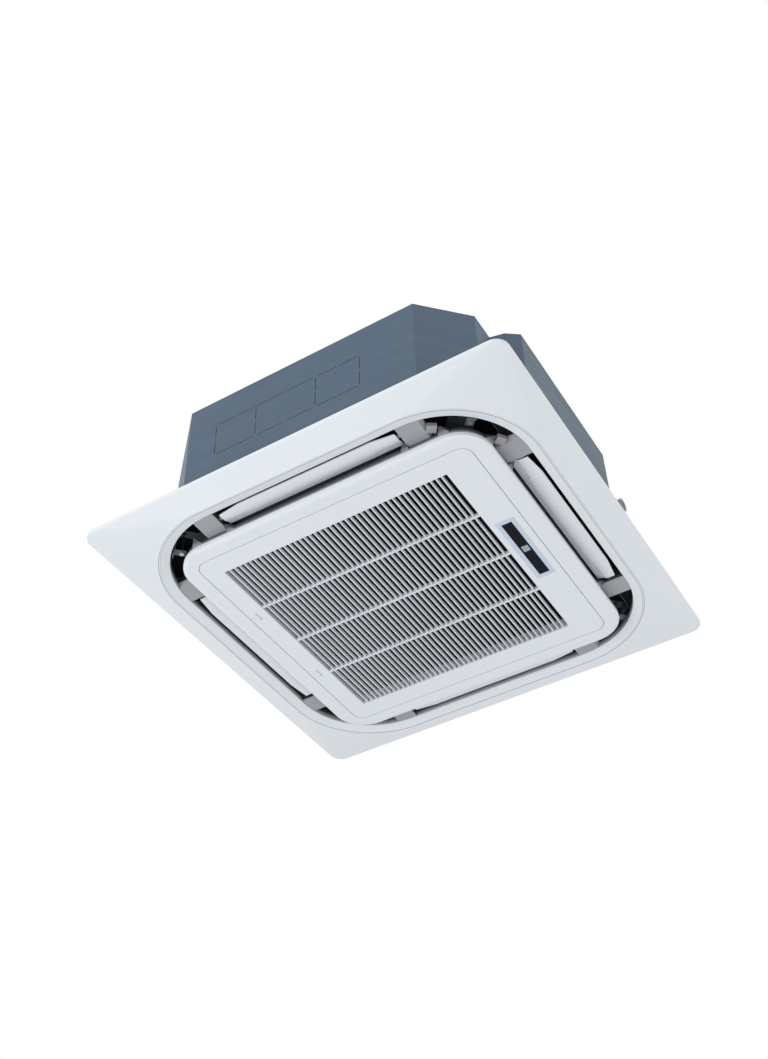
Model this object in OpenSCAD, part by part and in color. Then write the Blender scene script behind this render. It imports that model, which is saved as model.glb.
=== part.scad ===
// Four-way ceiling cassette air conditioner: a sheet steel body above the ceiling and a square panel below.
// Origin: the unit's centre on the ceiling plane. +Z is up, the front is -Y, and sizes are in millimetres.
// A piece of one side is drawn at the front (-Y) and turned about Z, front, right, back, left.

/* [Casing] */
// Height of the casing
casing_h = 290; // [285:1:300]
// Thickness of the casing's sheet
sheet_t = 1.2; // [0.8:0.1:1.5]
// Leg of the two plain chamfered corners
chamfer_leg = 152; // [148:1:156]
// Length cut from the front and back faces at the two stepped corners
step_run = 147; // [144:1:150]
// Length of the slope of a stepped corner along the right face
step_rise = 93; // [91:1:95]
// Set-back of the stepped corners from the right face
step_back = 57.5; // [56:0.5:59]
// Length of the flat of a stepped corner
step_flat = 63; // [61:1:65]
// Thickness of the foam inside the casing
liner_t = 12; // [10:1:12]

/* [Panel] */
// Side of the square panel
panel_w = 950; // [940:5:960]
// Width of the panel beyond the casing on each side
panel_over = 55; // [54:0.5:56]
// Height of the panel's outer edge
rim_h = 8; // [6:0.5:9]
// Wall of the panel's shell
panel_t = 3; // [2.5:0.1:3]
// Width of the panel from its edge to the ring opening
panel_border = 75; // [74:0.5:76]
// Corner radius of the ring opening
lip_r = 180; // [175:1:185]
// Width of the outlets between the ring opening and the centre frame
outlet_w = 51; // [50.6:0.1:51.4]
// Depth of the centre frame's face below the panel's outer edge
face_drop = 36.3; // [36:0.1:37]

/* [Intake grille] */
// Width of the centre frame's face round the grille
frame_border = 35.4; // [35:0.1:36]
// Plain border of the grille to the left of the slats
border_left = 41.5; // [40:0.5:43]
// Plain border of the grille to the right of the slats
border_right = 68.5; // [68:0.5:70]
// Plain border of the grille in front of the slats and behind them
border_ends = 46; // [45:0.5:48]
// Number of slats
slat_count = 42; // [30:1:44]
// Slat thickness
slat_t = 2.9; // [2:0.1:3.4]
// Slat height
slat_h = 8.7; // [7:0.1:10]

/* [Louvres] */
// Gap between a louvre's end and the arm beside it
louvre_gap = 8; // [7:0.5:9]
// Thickness of a louvre blade
louvre_t = 2.5; // [2:0.1:3]

/* [Fan] */
// Space between the fan wheel and the coil
fan_gap = 49; // [45:1:55]
// Number of fan blades
fan_blades = 7; // [5:1:9]
// Radius of the motor shaft
shaft_r = 5; // [4.5:0.1:6]

/* [Display] */
// Length of the display window
window_l = 170.5; // [165:0.5:175]
// Width of the display window
window_w = 22.5; // [20:0.5:24]

/* [Pipes and hangers] */
// Radius of the gas pipe
gas_r = 7.94; // [6.35:0.01:7.94]
// Radius of the liquid pipe
liquid_r = 4.76; // [3.18:0.01:4.76]
// Radius of the drain spigot
drain_r = 16; // [12.5:0.5:16]
// Distance of the hanger slots inside the casing's left and right faces
hang_in_x = 30; // [28:0.5:32]
// Distance of the hanger slots inside the casing's front and back faces
hang_in_y = 80; // [78:0.5:82]

/* [Hidden] */
$fn = 64;
cut = 1.1;
run_gap = 0.05;
seat_gap = 0.2;
lie_gap = 0.3;
hull_fn = 64;

// Levels
z_bot = 0;
z_top = casing_h;
z_rim = -rim_h;
groove_drop = 20.5;
z_groove = z_rim - groove_drop;
lip_drop = 14;
z_lip = z_rim - lip_drop;
z_face = z_rim - face_drop;
pan_z = 25;
pan_h = 45;
pan_top = pan_z + pan_h;

// Casing outline, counter-clockwise from the front left, with and without the pipe recess
casing_w = panel_w - 2 * panel_over;
ch = casing_w / 2;
recess_z = 95;
recess_y = 160;
step_mid = 27;
step_lead = 7;
step_out = 20;
flat_y = ch - step_rise - step_flat;
mid_y = flat_y - step_lead;
step_y = mid_y - step_out;
left_pts = [[-ch + chamfer_leg, ch], [-ch, ch - chamfer_leg], [-ch, -ch + chamfer_leg], [-ch + chamfer_leg, -ch]];
front_pts = [[ch - step_run, -ch], [ch - step_back, -ch + step_rise], [ch - step_back, -flat_y],
    [ch - step_mid, -mid_y], [ch, -step_y]];
low_pts = concat(left_pts, front_pts, [[ch, step_y], [ch - step_mid, mid_y], [ch - step_back, flat_y],
    [ch - step_back, ch - step_rise], [ch - step_run, ch]]);
high_pts = concat(left_pts, front_pts, [[ch, recess_y], [ch - step_back, ch - step_rise], [ch - step_run, ch]]);
recess_turn = atan2(step_back, ch - step_rise - recess_y);
function recess_x(y) = ch - (y - recess_y) * step_back / (ch - step_rise - recess_y);
function out_dir(a, b) = let (d = b - a) [d[1], -d[0]] / norm(d);
function inset(p, k) = [for (i = [0:len(p) - 1]) let (
    n1 = out_dir(p[(i + len(p) - 1) % len(p)], p[i]),
    n2 = out_dir(p[i], p[(i + 1) % len(p)])) p[i] - k * (n1 + n2) / (1 + n1 * n2)];
plain_diag = (casing_w - chamfer_leg) / sqrt(2);
step_slope = step_run - step_back;
step_diag = (ch - step_run + step_slope * step_run / (step_slope + step_rise)) * sqrt(2);
lid_z = z_top - sheet_t;
lid_under = lid_z - sheet_t;
pad_t = 8;
top_edge = 7;
screw_r = 2;
screw_head_r = 4;
screw_head_h = 2;
screw_x = ch * 0.476;
top_screws = [[-screw_x, -ch + top_edge], [0, -ch + top_edge], [screw_x, -ch + top_edge],
    [-screw_x, ch - top_edge], [0, ch - top_edge], [screw_x, ch - top_edge], [ch - top_edge, 0],
    [-ch + top_edge, 0]];

// Knock-outs in the front face
knock_x = [for (f = [-0.469, -0.2333, 0.1095, 0.3536]) f * ch];
knock_z0 = 122;
knock_z1 = 211;
knock_mid = (knock_z0 + knock_z1) / 2;
slit_w = 1.4;
slit_tab = 5;

// Hangers
hang_x = casing_w - 2 * hang_in_x;
hang_y = casing_w - 2 * hang_in_y;
hang_off = (hang_x - hang_y) / sqrt(8);
hang_diag = (hang_x + hang_y) / sqrt(8);
hang_z = 60;
hang_t = 3;
hang_slot_r = 6;
hang_slot_l = 25;
hang_leg_h = 42;
hang_w = 64;
hang_reach = 24;

// Ring opening, centre frame and the ring of foam above it
lip_half = panel_w / 2 - panel_border;
lip_diag = (lip_half - lip_r) * sqrt(2) + lip_r;
frame_half = lip_half - outlet_w;
frame_r = 72;
frame_in = frame_half - frame_r;
wall_step = 4;
upper = frame_half - wall_step;
upper_r = frame_r - wall_step;
step_z = 11.2;
bevel_w = 8.5;
bevel_h = panel_t - seat_gap;
seam = 1.1;
edge_t = 1.1;
rebate = 4.5;
rebate_wall = 3;
grille_half = frame_half - frame_border - seam;
grille_r = 25;
rebate_half = grille_half + seam + rebate;
rebate_r = grille_r + seam + rebate;
shelf_rise = 25.3;
shelf_z = z_face + shelf_rise;
shelf_t = 2.4;
duct_t = 9;
duct_r = 205;
duct_mid = upper - duct_r;
duct_diag = duct_mid * sqrt(2) + duct_r - duct_t;
shelf_lap = 2.1;
shelf_r = (sqrt(2) * rebate_half - duct_diag + shelf_lap) / (sqrt(2) - 1);
duct_cuts = 4;

// Corner brackets, lugs and panel screws; the bracket of the drain corner lies lower and further out
brk_t = 2;
brk_w = 54;
brk_in = duct_diag + duct_t + brk_t / 2;
brk_d = 26;
brk_leg = 20;
pocket_d = 18;
pocket_w = 90;
drain_brk_off = 28;
drain_brk_d = 18;
tongue_w = 20;
lug_w = 16;
lug_z = -12;
lug_leg = 9;
lug_pad = 3.5;
lug_pad_top = -2;
fix_off = 21.7;
fix_diag = lip_diag - fix_off;
fix_r = 2.5;
fix_head_r = 5;
fix_head_h = 3;
lug_edge = 8;
lug_in = fix_diag - lug_edge;
nut_h = 5;

// Panel
panel_r = 28;
groove_lap = 23;
groove_half = lip_half + groove_lap;
groove_r = lip_r + groove_lap;
groove_w = 4;
groove_d = 1.1;
land = 4;
seal_reach = 37;
seal_half = lip_half + seal_reach;
seal_r = 150;
seal_h = 8;

// Arms between the centre frame and the rim, with their covers
arm_off = 191.5;
arm_in = lip_half - arm_off;
arm_w = 46.5;
arm_mid = arm_in + arm_w / 2;
arm_end = arm_in + arm_w;
arm_wall = 3;
arm_top = 12;
arm_root = 8;
cover_t = 3;
cover_z = -20;
cover_out = 6;
cover_up = 9;
foot_w = 30;
foot_reach = 10;
foot_out = lip_half + foot_reach;
foot_in = lip_half - foot_w / 2;
foot_t = 3;
boss_off = 5.5;
boss_y = lip_half + boss_off;
boss_r = 4;
boss_hole_r = 1.6;
frame_screw_l = 16;
frame_screw_r = 1.6;
frame_head_r = 3.5;
frame_head_h = 2.2;
gusset_drop = 8;
gusset_rise = 9;
gusset_out = 13;
gusset_root = 18;
gusset_tip = 6;
gusset_pts = [[15, 0], [24, 13], [28, 13.5], [39, 0]];
post_x = arm_end + 11.5;
post_y = upper + 16;
post_l = 19.4;
post_w = 18;
post_h = 9;
post_turn = 34.5;

// Slots through the drain pan and the foam pads outside them
slot_lip = 5;
slot_in = frame_half - seam;
slot_out = lip_half - slot_lip;
slot_mid = (slot_in + slot_out) / 2;
slot_end = 3.5;
slot_half = arm_in - slot_end;
slot_r = 8;
pad_back = 2;
duct_half = slot_half - seam;
duct_out = ch - pad_back;

// Louvres: the blade's two edges and the pivot, as distance from the centre and height
louvre_len = 2 * (arm_in - louvre_gap);
pivot_off = 32;
pivot_y = lip_half - pivot_off;
pivot_z = -6;
blade_in = [lip_half - 44.3, -12];
blade_out = [lip_half - 9.25, -16];
blade_sag = 2;
blade_steps = 8;
strip_in = [lip_half - 53.5, -8];
strip_out = [lip_half - 34, -13.2];
strip_t = 2;
arm_plate = 3;
stub_r = 3;
bush_r = 5.5;
louvre_motor_r = 10;
louvre_motor_l = 18;
notch_l = 55;
notch_d = 6.5;
taper_l = 50;
taper_d = 6.5;

// Grille
intake_x = 2 * grille_half - border_left - border_right;
intake_y = 2 * grille_half - 2 * border_ends;
intake_cx = (border_left - border_right) / 2;
intake_cy = 0;
ix0 = intake_cx - intake_x / 2;
ix1 = intake_cx + intake_x / 2;
iy0 = intake_cy - intake_y / 2;
iy1 = intake_cy + intake_y / 2;
skin = 3;
plate_top = z_face + skin;
skirt_t = 2.5;
skirt_h = 25;
flange_h = 8;
edge_lap = 3;
pitch = intake_x / (slat_count + 1);
rib_y = [for (f = [-0.2514, -0.0084, 0.2336]) f * intake_y];
rib_w = 5;

// Hinge at the grille's right edge: a bent neck reaches over the frame's edge to an axis inside the frame
hinge_out = 13;
hinge_up = 8;
hinge_x = grille_half + seam + hinge_out;
hinge_z = z_face + hinge_up;
hinge_y = grille_half * 0.576;
open_angle = 85;
neck_gap = 0.6;
neck_t = 3.5;
neck_w = 14;
neck_out = norm([hinge_out, hinge_up]) + neck_gap;
neck_rise = hinge_out * sin(open_angle) - hinge_up * cos(open_angle) + neck_gap;
riser_w = 5;
pin_r = 2.5;
knuckle_r = 4.5;
ear_t = 5;
ear_gap = 0.5;
ear_y = neck_w / 2 + ear_gap;
pin_head_r = 4;
pin_head_t = 2;

// Display
display_in = 35.8;
bezel_x = grille_half - display_in;
bezel_y = -1.1;
bezel_t = 0.8;
bezel_lap = 4;
bezel_side = 9.25;
bezel_end = 10.25;
bezel_w = window_w + 2 * bezel_side;
bezel_l = window_l + 2 * bezel_end;
window_t = 2;
window_sink = 0.4;
lens_w = 14.5;
lens_l = 17.5;
lens_t = 3;
board_t = 1.6;
board_rise = 6;
post_r = 2.5;

// Latches
latch_in = 15;
latch_x = latch_in - grille_half;
latch_y = grille_half * 0.3686;
latch_w = 23.5;
latch_l = 17;
latch_t = 2.4;
latch_gap = 0.3;
latch_free = 6;
latch_lap = 3;
latch_top = plate_top + lie_gap + latch_t;
keeper_off = 1.5;
keeper_in = grille_half + keeper_off;
keeper_h = 2;

// Filter
filter_z = z_face + skirt_h;
filter_t = 6;
filter_bar = 8;
filter_over = 4;
mesh_t = 1.1;

// Coil
coil_margin = 120;
coil_half = ch - coil_margin;
coil_w = 38;
coil_r = 62;
trough_d = 21;
trough_z = pan_top - trough_d;
coil_z = trough_z;
coil_h = lid_z - pad_t - coil_z;
coil_open = 100;
coil_end = coil_half - coil_open;
end_t = 1.5;
tube_r = 4;
tube_rows = 8;
bend_r = 9.5;
trough_gap = 9;
feed_count = 5;
feed_r = 3;
header_r = 9.5;
header_end = 40;
header_x = coil_half - coil_w / 2;

// Fan and bell mouth
fan_r = coil_half - coil_w - fan_gap;
bell_r = fan_r * 1.09;
bell_curve = fan_r * 0.29;
bell_t = 3;
bell_flange = 28;
bell_z = pan_z - bell_t;
pan_bore_r = bell_r + bell_t;
fan_bottom = 92;
fan_top = 231;
fan_plate = 3;
shroud_r = fan_r * 0.83;
shroud_lip_z = 79;
blade_in_r = fan_r * 0.58;
blade_curve_r = fan_r * 0.61;
blade_tip_r = fan_r - fan_plate;
fan_blade_t = 5;
cup_r = fan_r * 0.49;
cup_in_r = fan_r * 0.33;
cup_z = 150;
hub_r = 16;
hub_z = 128;
hub_h = 30;
nut_r = 9;
fan_nut_h = 9;
shaft_z = hub_z - fan_nut_h;

// Motor and its mount
motor_r = fan_r * 0.28;
motor_z = 166;
motor_h = 84;
motor_flange_r = fan_r * 0.47;
motor_flange_t = 4;
stud_r = 4;
stud_y = fan_r * 0.42;
stud_z = 236;
rubber_r = 10;
rubber_h = 14;
hat_r = fan_r * 0.53;
hat_t = 3;
hat_z = 268;
flange_z = hat_z - rubber_h - motor_flange_t;

// Control box
box_x = ch * 0.667;
box_d = 110;
box_y0 = -coil_half;
box_y1 = box_y0 + box_d;
box_z = 2;
box_h = pan_z - bell_t - box_z;
box_wall = 1.2;
board_gap = 8;
board_under = box_z + box_h - box_wall - board_gap / 2;
chip_h = 6;
term_w = 60;
term_d = 20;
term_h = 12;

// Drain corner, with its pieces set out from the coil's corner
well_reach = 64;
well_in = coil_half - well_reach;
well_over = 38;
well_out = coil_half + well_over;
pump_in = [46, 32];
pump_x = coil_half - pump_in[0];
pump_y = coil_half - pump_in[1];
pump_r = 24;
pump_z = 72;
pump_h = 70;
pump_arm_h = 6;
hose_r = 6;
float_in = [4, 18];
float_x = coil_half - float_in[0];
float_y = coil_half - float_in[1];
float_r = 14;
float_h = 12;
float_lift = 12;
stem_top = 144;
stem_r = 4;
collar_r = 7;
collar_h = 2;
float_z = trough_z + collar_h;
drain_hole_r = 12;
drain_in = 30;
drain_y = coil_half - drain_in;
drain_z = 232;
drain_back = 8;
drain_end = ch - drain_back;
spigot_t = 2.5;
spigot_in = coil_half;
collar_t = 2;
collar_w = 6;
bead_w = 1.5;
bead_t = 2.5;
hose_seat = 12;
pipe_z = coil_z + coil_h / 2;
gas_in = 60;
gas_y = coil_half - gas_in;
liquid_in = 16;
liquid_y = coil_half - liquid_in;
pipe_out = 4;
pipe_end = ch + pipe_out;
plate_pad = 10;
flare_r = 13;
flare_h = 12;
stub_l = 12;
pipe_thin = 0.5;
plug_r = 18;
plug_h = 3;

// Shared shapes
module slab(z, h) { translate([0, 0, z]) linear_extrude(h) children(); }
module rrect(w, d, r) {
    square([w - 2 * r, d], center = true);
    square([w, d - 2 * r], center = true);
    for (x = [-1, 1], y = [-1, 1]) translate([x * (w / 2 - r), y * (d / 2 - r)]) circle(r, $fn = hull_fn);
}
module rsq(half, r) { rrect(2 * half, 2 * half, r); }
module block(x0, x1, y0, y1, z0, z1) { translate([x0, y0, z0]) cube([x1 - x0, y1 - y0, z1 - z0]); }
module tube(r, inner, z, h) {
    translate([0, 0, z]) difference() {
        cylinder(r = r, h = h);
        translate([0, 0, -cut]) cylinder(r = inner, h = h + 2 * cut);
    }
}
module turned(k) { rotate([0, 0, 90 * k]) children(); }
module sides() { for (k = [0:3]) turned(k) children(); }
module ends() { for (m = [0, 1]) mirror([m, 0, 0]) children(); }
module diagonals() { for (k = [0:3]) rotate([0, 0, 45 + 90 * k]) children(); }
module side_view(x, l) {
    translate([x, 0, 0]) rotate([90, 0, 90]) mirror([1, 0, 0]) linear_extrude(l) children();
}

// Body of the casing, inset by k, with the pipe recess above recess_z
module casing_solid(k, z0, z1) {
    slab(z0, recess_z - k - z0) polygon(inset(low_pts, k));
    slab(recess_z + k, z1 - recess_z - k) polygon(inset(high_pts, k));
    slab(z0, z1 - z0) intersection() {
        polygon(inset(low_pts, k));
        polygon(inset(high_pts, k));
    }
}
module casing_wall() {
    difference() {
        casing_solid(0, z_bot, lid_z);
        casing_solid(sheet_t, z_bot - cut, z_top);
        pipe_holes(lie_gap);
    }
    difference() {
        slab(lid_under, sheet_t) polygon(inset(high_pts, sheet_t / 2));
        slab(lid_under - cut, sheet_t + 2 * cut) polygon(inset(high_pts, sheet_t + liner_t));
        top_holes();
    }
}
module top_holes() {
    for (p = top_screws) translate([p[0], p[1], lid_under - cut]) cylinder(r = screw_r, h = 2 * sheet_t + 2 * cut);
}
// Everything in front of the seam between the two bent sheets
module front_part() {
    slab(z_bot - cut, casing_h + 2 * cut) polygon([
        [-ch - cut, -ch - cut], [ch + cut, -ch - cut], [ch + cut, recess_y], [-ch - cut, ch - chamfer_leg]]);
}
module knock_slits() {
    for (i = [0:2], z = [knock_z0, knock_z1], s = [0, 1]) {
        x0 = knock_x[i] + slit_tab;
        run = (knock_x[i + 1] - slit_tab - x0 - slit_tab) / 2;
        block(x0 + s * (run + slit_tab), x0 + s * (run + slit_tab) + run, -ch - cut, -ch + 2 * sheet_t,
            z - slit_w / 2, z + slit_w / 2);
    }
    for (x = knock_x, s = [-1, 1])
        block(x - slit_w / 2, x + slit_w / 2, -ch - cut, -ch + 2 * sheet_t,
            s < 0 ? knock_z0 + slit_tab : knock_mid + slit_tab,
            s < 0 ? knock_mid - slit_tab : knock_z1 - slit_tab);
}
module casing_front() color("#5d7386") difference() {
    intersection() { casing_wall(); front_part(); }
    knock_slits();
}
module casing_rear() color("#5d7386") difference() { casing_wall(); front_part(); }
module casing_top() color("#657a8c") difference() {
    slab(lid_z, sheet_t) polygon(high_pts);
    top_holes();
}
module casing_screws() color("silver") for (p = top_screws) translate([p[0], p[1], lid_under]) {
    cylinder(r = screw_r, h = 2 * sheet_t);
    translate([0, 0, 2 * sheet_t]) cylinder(r = screw_head_r, h = screw_head_h);
}

// Hanger brackets: a leg on the casing and a slotted shelf
module hang_slot(x, y) {
    translate([x, y, hang_z - cut]) linear_extrude(hang_t + 2 * cut) {
        square([hang_slot_l - 2 * hang_slot_r, 2 * hang_slot_r], center = true);
        for (s = [-1, 1]) translate([s * (hang_slot_l / 2 - hang_slot_r), 0]) circle(hang_slot_r);
    }
}
module hanger_plain() {
    y0 = -hang_off - hang_w / 2;
    difference() {
        rotate([0, 0, -135]) {
            block(plain_diag, plain_diag + hang_t, y0, y0 + hang_w, hang_z - hang_leg_h, hang_z + hang_t);
            block(plain_diag, hang_diag + hang_reach, y0, y0 + hang_w, hang_z, hang_z + hang_t);
        }
        hang_slot(-hang_x / 2, -hang_y / 2);
    }
}
module hanger_step() {
    x0 = ch - step_back;
    y0 = -ch + step_rise;
    difference() {
        union() {
            block(x0, x0 + hang_t, y0, y0 + step_flat, hang_z - hang_leg_h, hang_z + hang_t);
            block(x0, hang_x / 2 + hang_reach, y0 - hang_reach, y0 + step_flat - 2 * hang_t, hang_z,
                hang_z + hang_t);
        }
        hang_slot(hang_x / 2, -hang_y / 2);
    }
}
module hanger_brackets() color("#8b939a") for (m = [0, 1]) mirror([0, m, 0]) {
    hanger_plain();
    hanger_step();
}

// Insulation
module side_insulation() color("#3a3f44") difference() {
    casing_solid(sheet_t, pan_z, lid_under);
    casing_solid(sheet_t + liner_t, pan_z - cut, z_top);
    pipe_holes(lie_gap);
    corner_pockets();
}
module top_insulation() color("#3a3f44") difference() {
    slab(lid_z - pad_t, pad_t) polygon(inset(high_pts, sheet_t + liner_t));
    slab(lid_z - pad_t - cut, pad_t + 2 * cut) circle(hat_r + seat_gap);
}

// Drain pan with its coil trough, corner well and four duct slots
module duct_slots() {
    sides() translate([0, -slot_mid, pan_z - cut]) linear_extrude(pan_h + 2 * cut)
        rrect(2 * slot_half, slot_out - slot_in, slot_r);
}
// Pockets for the corner brackets, at every corner but the drain corner
module corner_pockets() for (k = [1:3]) rotate([0, 0, 45 + 90 * k])
    block(brk_in - brk_t / 4, casing_w, -pocket_w / 2, pocket_w / 2, pan_z - cut, pan_z + pocket_d);
module drain_pan() color("#2b2f33") difference() {
    casing_solid(sheet_t + liner_t, pan_z, pan_top);
    slab(pan_top, casing_h) square(casing_w, center = true);
    translate([0, 0, pan_z - cut]) cylinder(r = pan_bore_r, h = pan_h + 2 * cut, $fn = 2 * hull_fn);
    duct_slots();
    corner_pockets();
    slab(trough_z, trough_d + cut) difference() {
        rsq(coil_half + trough_gap, coil_r + trough_gap);
        rsq(coil_half - coil_w - trough_gap, coil_r - coil_w);
    }
    block(well_in, well_out, well_in, well_out, trough_z, pan_top + cut);
    translate([float_x, float_y, pan_z - cut]) cylinder(r = drain_hole_r, h = pan_h);
}
module drain_plug() color("#d8dadb") translate([float_x, float_y, pan_z]) {
    cylinder(r = drain_hole_r - seat_gap, h = pan_h - trough_d);
    translate([0, 0, -plug_h]) cylinder(r = plug_r, h = plug_h);
}

// Bell mouth: a quarter ring from the flange up to the throat
module bell_mouth() color("#d9dde0") {
    translate([0, 0, bell_z + bell_curve]) rotate_extrude($fn = 2 * hull_fn) difference() {
        translate([bell_r, 0]) circle(bell_curve, $fn = 2 * hull_fn);
        translate([bell_r, 0]) circle(bell_curve - bell_t, $fn = 2 * hull_fn);
        translate([bell_r, -2 * bell_curve]) square(4 * bell_curve);
        translate([bell_r - 2 * bell_curve, 0]) square(4 * bell_curve);
    }
    tube(bell_r + bell_flange, bell_r, bell_z, bell_t);
}

// Steel brackets under the pan at the four corners, with a nut for the panel screw
module corner_bracket(wall, inner, depth, top) {
    difference() {
        union() {
            block(inner, inner + depth, -brk_w / 2, brk_w / 2, top - brk_t, top);
            block(inner, wall, -tongue_w / 2, tongue_w / 2, top - brk_t, top);
            block(wall - brk_t, wall, -tongue_w / 2, tongue_w / 2, pan_z - brk_leg, top);
            translate([fix_diag, 0, top - brk_t - nut_h]) cylinder(r = fix_head_r, h = nut_h);
        }
        translate([fix_diag, 0, top - brk_t - nut_h - cut]) cylinder(r = fix_r, h = nut_h + brk_t + 2 * cut);
    }
}
module corner_brackets() color("#66788a") {
    stepped = step_diag - sheet_t - lie_gap;
    plain = plain_diag - sheet_t;
    rotate([0, 0, 45]) corner_bracket(stepped, brk_in + drain_brk_off, drain_brk_d, pan_z);
    rotate([0, 0, -45]) corner_bracket(stepped, brk_in, brk_d, pan_z + pocket_d);
    for (m = [0, 1]) mirror([0, m, 0]) rotate([0, 0, 135]) corner_bracket(plain, brk_in, brk_d, pan_z + pocket_d);
}

// Coil, open at the pipe corner
module coil_plan(k) {
    difference() {
        rsq(coil_half - k, coil_r - k);
        rsq(coil_half - coil_w + k, coil_r - coil_w + k);
        translate([coil_end, coil_end]) square(coil_half);
        translate([coil_end, coil_half - coil_w - cut]) square(coil_half);
        translate([coil_half - coil_w - cut, coil_end]) square(coil_half);
    }
}
module coil_fins() color("#b9c2c8") slab(coil_z, coil_h) coil_plan(0);
module coil_end_plates() color("#aab2b8") for (m = [0, 1]) mirror([m, -m, 0])
    block(coil_end, coil_end + end_t, coil_half - coil_w, coil_half, coil_z, coil_z + coil_h);
module return_bend() {
    rotate([0, 0, -90]) difference() {
        rotate_extrude() translate([bend_r, 0]) circle(tube_r);
        translate([-coil_w, -2 * coil_w, -coil_w]) cube(2 * coil_w);
    }
}
module coil_bends() color("#b87333") for (m = [0, 1], i = [0:tube_rows - 1])
    mirror([m, -m, 0]) translate([coil_end + end_t, coil_half - coil_w / 2,
        coil_z + (i + 0.5) * coil_h / tube_rows]) rotate([0, 0, 180]) mirror([1, 0, 0]) return_bend();
module pipe_x(r, x0, x1, y, z) { translate([x0, y, z]) rotate([0, 90, 0]) cylinder(r = r, h = x1 - x0); }
module gas_pipe() color("#b87333") {
    translate([header_x, gas_y, coil_z + header_end]) cylinder(r = header_r, h = coil_h - 2 * header_end);
    for (i = [1:feed_count]) {
        z = pipe_z + (i - (feed_count + 1) / 2) * coil_h / tube_rows;
        translate([header_x, coil_end + end_t, z]) rotate([-90, 0, 0]) cylinder(r = feed_r,
            h = gas_y - coil_end - end_t);
    }
    pipe_x(gas_r - pipe_thin, header_x, pipe_end, gas_y, pipe_z);
    pipe_x(gas_r, pipe_end - stub_l, pipe_end, gas_y, pipe_z);
}
module liquid_pipe() color("#b87333") {
    pipe_x(liquid_r - pipe_thin, coil_end + end_t, pipe_end, liquid_y, pipe_z);
    pipe_x(liquid_r, pipe_end - stub_l, pipe_end, liquid_y, pipe_z);
}
module flare_nut(r, y) {
    translate([pipe_end - stub_l - flare_h, y, pipe_z]) rotate([0, 90, 0]) difference() {
        cylinder(r = flare_r * (r / gas_r + 1) / 2, h = flare_h, $fn = 6);
        translate([0, 0, -cut]) cylinder(r = r - pipe_thin, h = flare_h + 2 * cut);
    }
}
module flare_nuts() color("#c9a24b") {
    flare_nut(gas_r, gas_y);
    flare_nut(liquid_r, liquid_y);
}
module pipe_plate() color("#8b939a") difference() {
    translate([ch, recess_y, pipe_z]) rotate([0, 0, recess_turn])
        block(0, brk_t, (gas_y - recess_y) / cos(recess_turn) - gas_r - plate_pad,
            (liquid_y - recess_y) / cos(recess_turn) + liquid_r + plate_pad, -gas_r - plate_pad,
            gas_r + plate_pad);
    pipe_holes(lie_gap);
}
// Holes for the pipes and the drain spigot
module pipe_holes(k) {
    pipe_x(gas_r + k, ch - step_run, ch, gas_y, pipe_z);
    pipe_x(liquid_r + k, ch - step_run, ch, liquid_y, pipe_z);
    pipe_x(drain_r + k, ch - step_run, ch, drain_y, drain_z);
}

// Condensate pump, its spigot and the float switch
module drain_pump() color("#c7cbce") {
    translate([pump_x, pump_y, pump_z]) cylinder(r = pump_r, h = pump_h);
    translate([pump_x, pump_y, coil_z]) cylinder(r = hose_r, h = pump_z - coil_z);
    translate([pump_x, pump_y, pump_z + pump_h]) cylinder(r = hose_r, h = drain_z - pump_z - pump_h);
    difference() {
        translate([0, 0, pump_z + pump_h - pump_arm_h]) linear_extrude(pump_arm_h) polygon([
            [pump_x, pump_y], [float_x + collar_r, float_y - collar_r], [float_x + collar_r, float_y + collar_r],
            [float_x - collar_r, float_y + collar_r]]);
        translate([float_x, float_y, 0]) cylinder(r = stem_r, h = z_top);
    }
}
module drain_outlet() color("#dfe3e6") {
    difference() {
        union() {
            pipe_x(drain_r, spigot_in, drain_end, drain_y, drain_z);
            translate([recess_x(drain_y), drain_y, drain_z]) rotate([0, 0, recess_turn]) rotate([0, 90, 0])
                cylinder(r = drain_r + collar_w, h = collar_t);
            pipe_x(drain_r + bead_w, drain_end - hose_seat - bead_t, drain_end - hose_seat, drain_y, drain_z);
        }
        pipe_x(drain_r - spigot_t, spigot_in + spigot_t, drain_end + cut, drain_y, drain_z);
    }
    block(pump_x + hose_r + lie_gap, spigot_in, pump_y - hose_r, pump_y + hose_r, drain_z - hose_r,
        drain_z + hose_r);
}
module float_stem() color("#dfe3e6") translate([float_x, float_y, 0]) {
    translate([0, 0, trough_z]) cylinder(r = stem_r, h = stem_top - trough_z);
    translate([0, 0, trough_z]) cylinder(r = collar_r, h = collar_h);
    translate([0, 0, float_z + float_h + float_lift + lie_gap]) cylinder(r = collar_r, h = collar_h);
}
module drain_float() color("#f2f2f0") translate([float_x, float_y, 0])
    tube(float_r, stem_r + run_gap, float_z, float_h);

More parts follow.
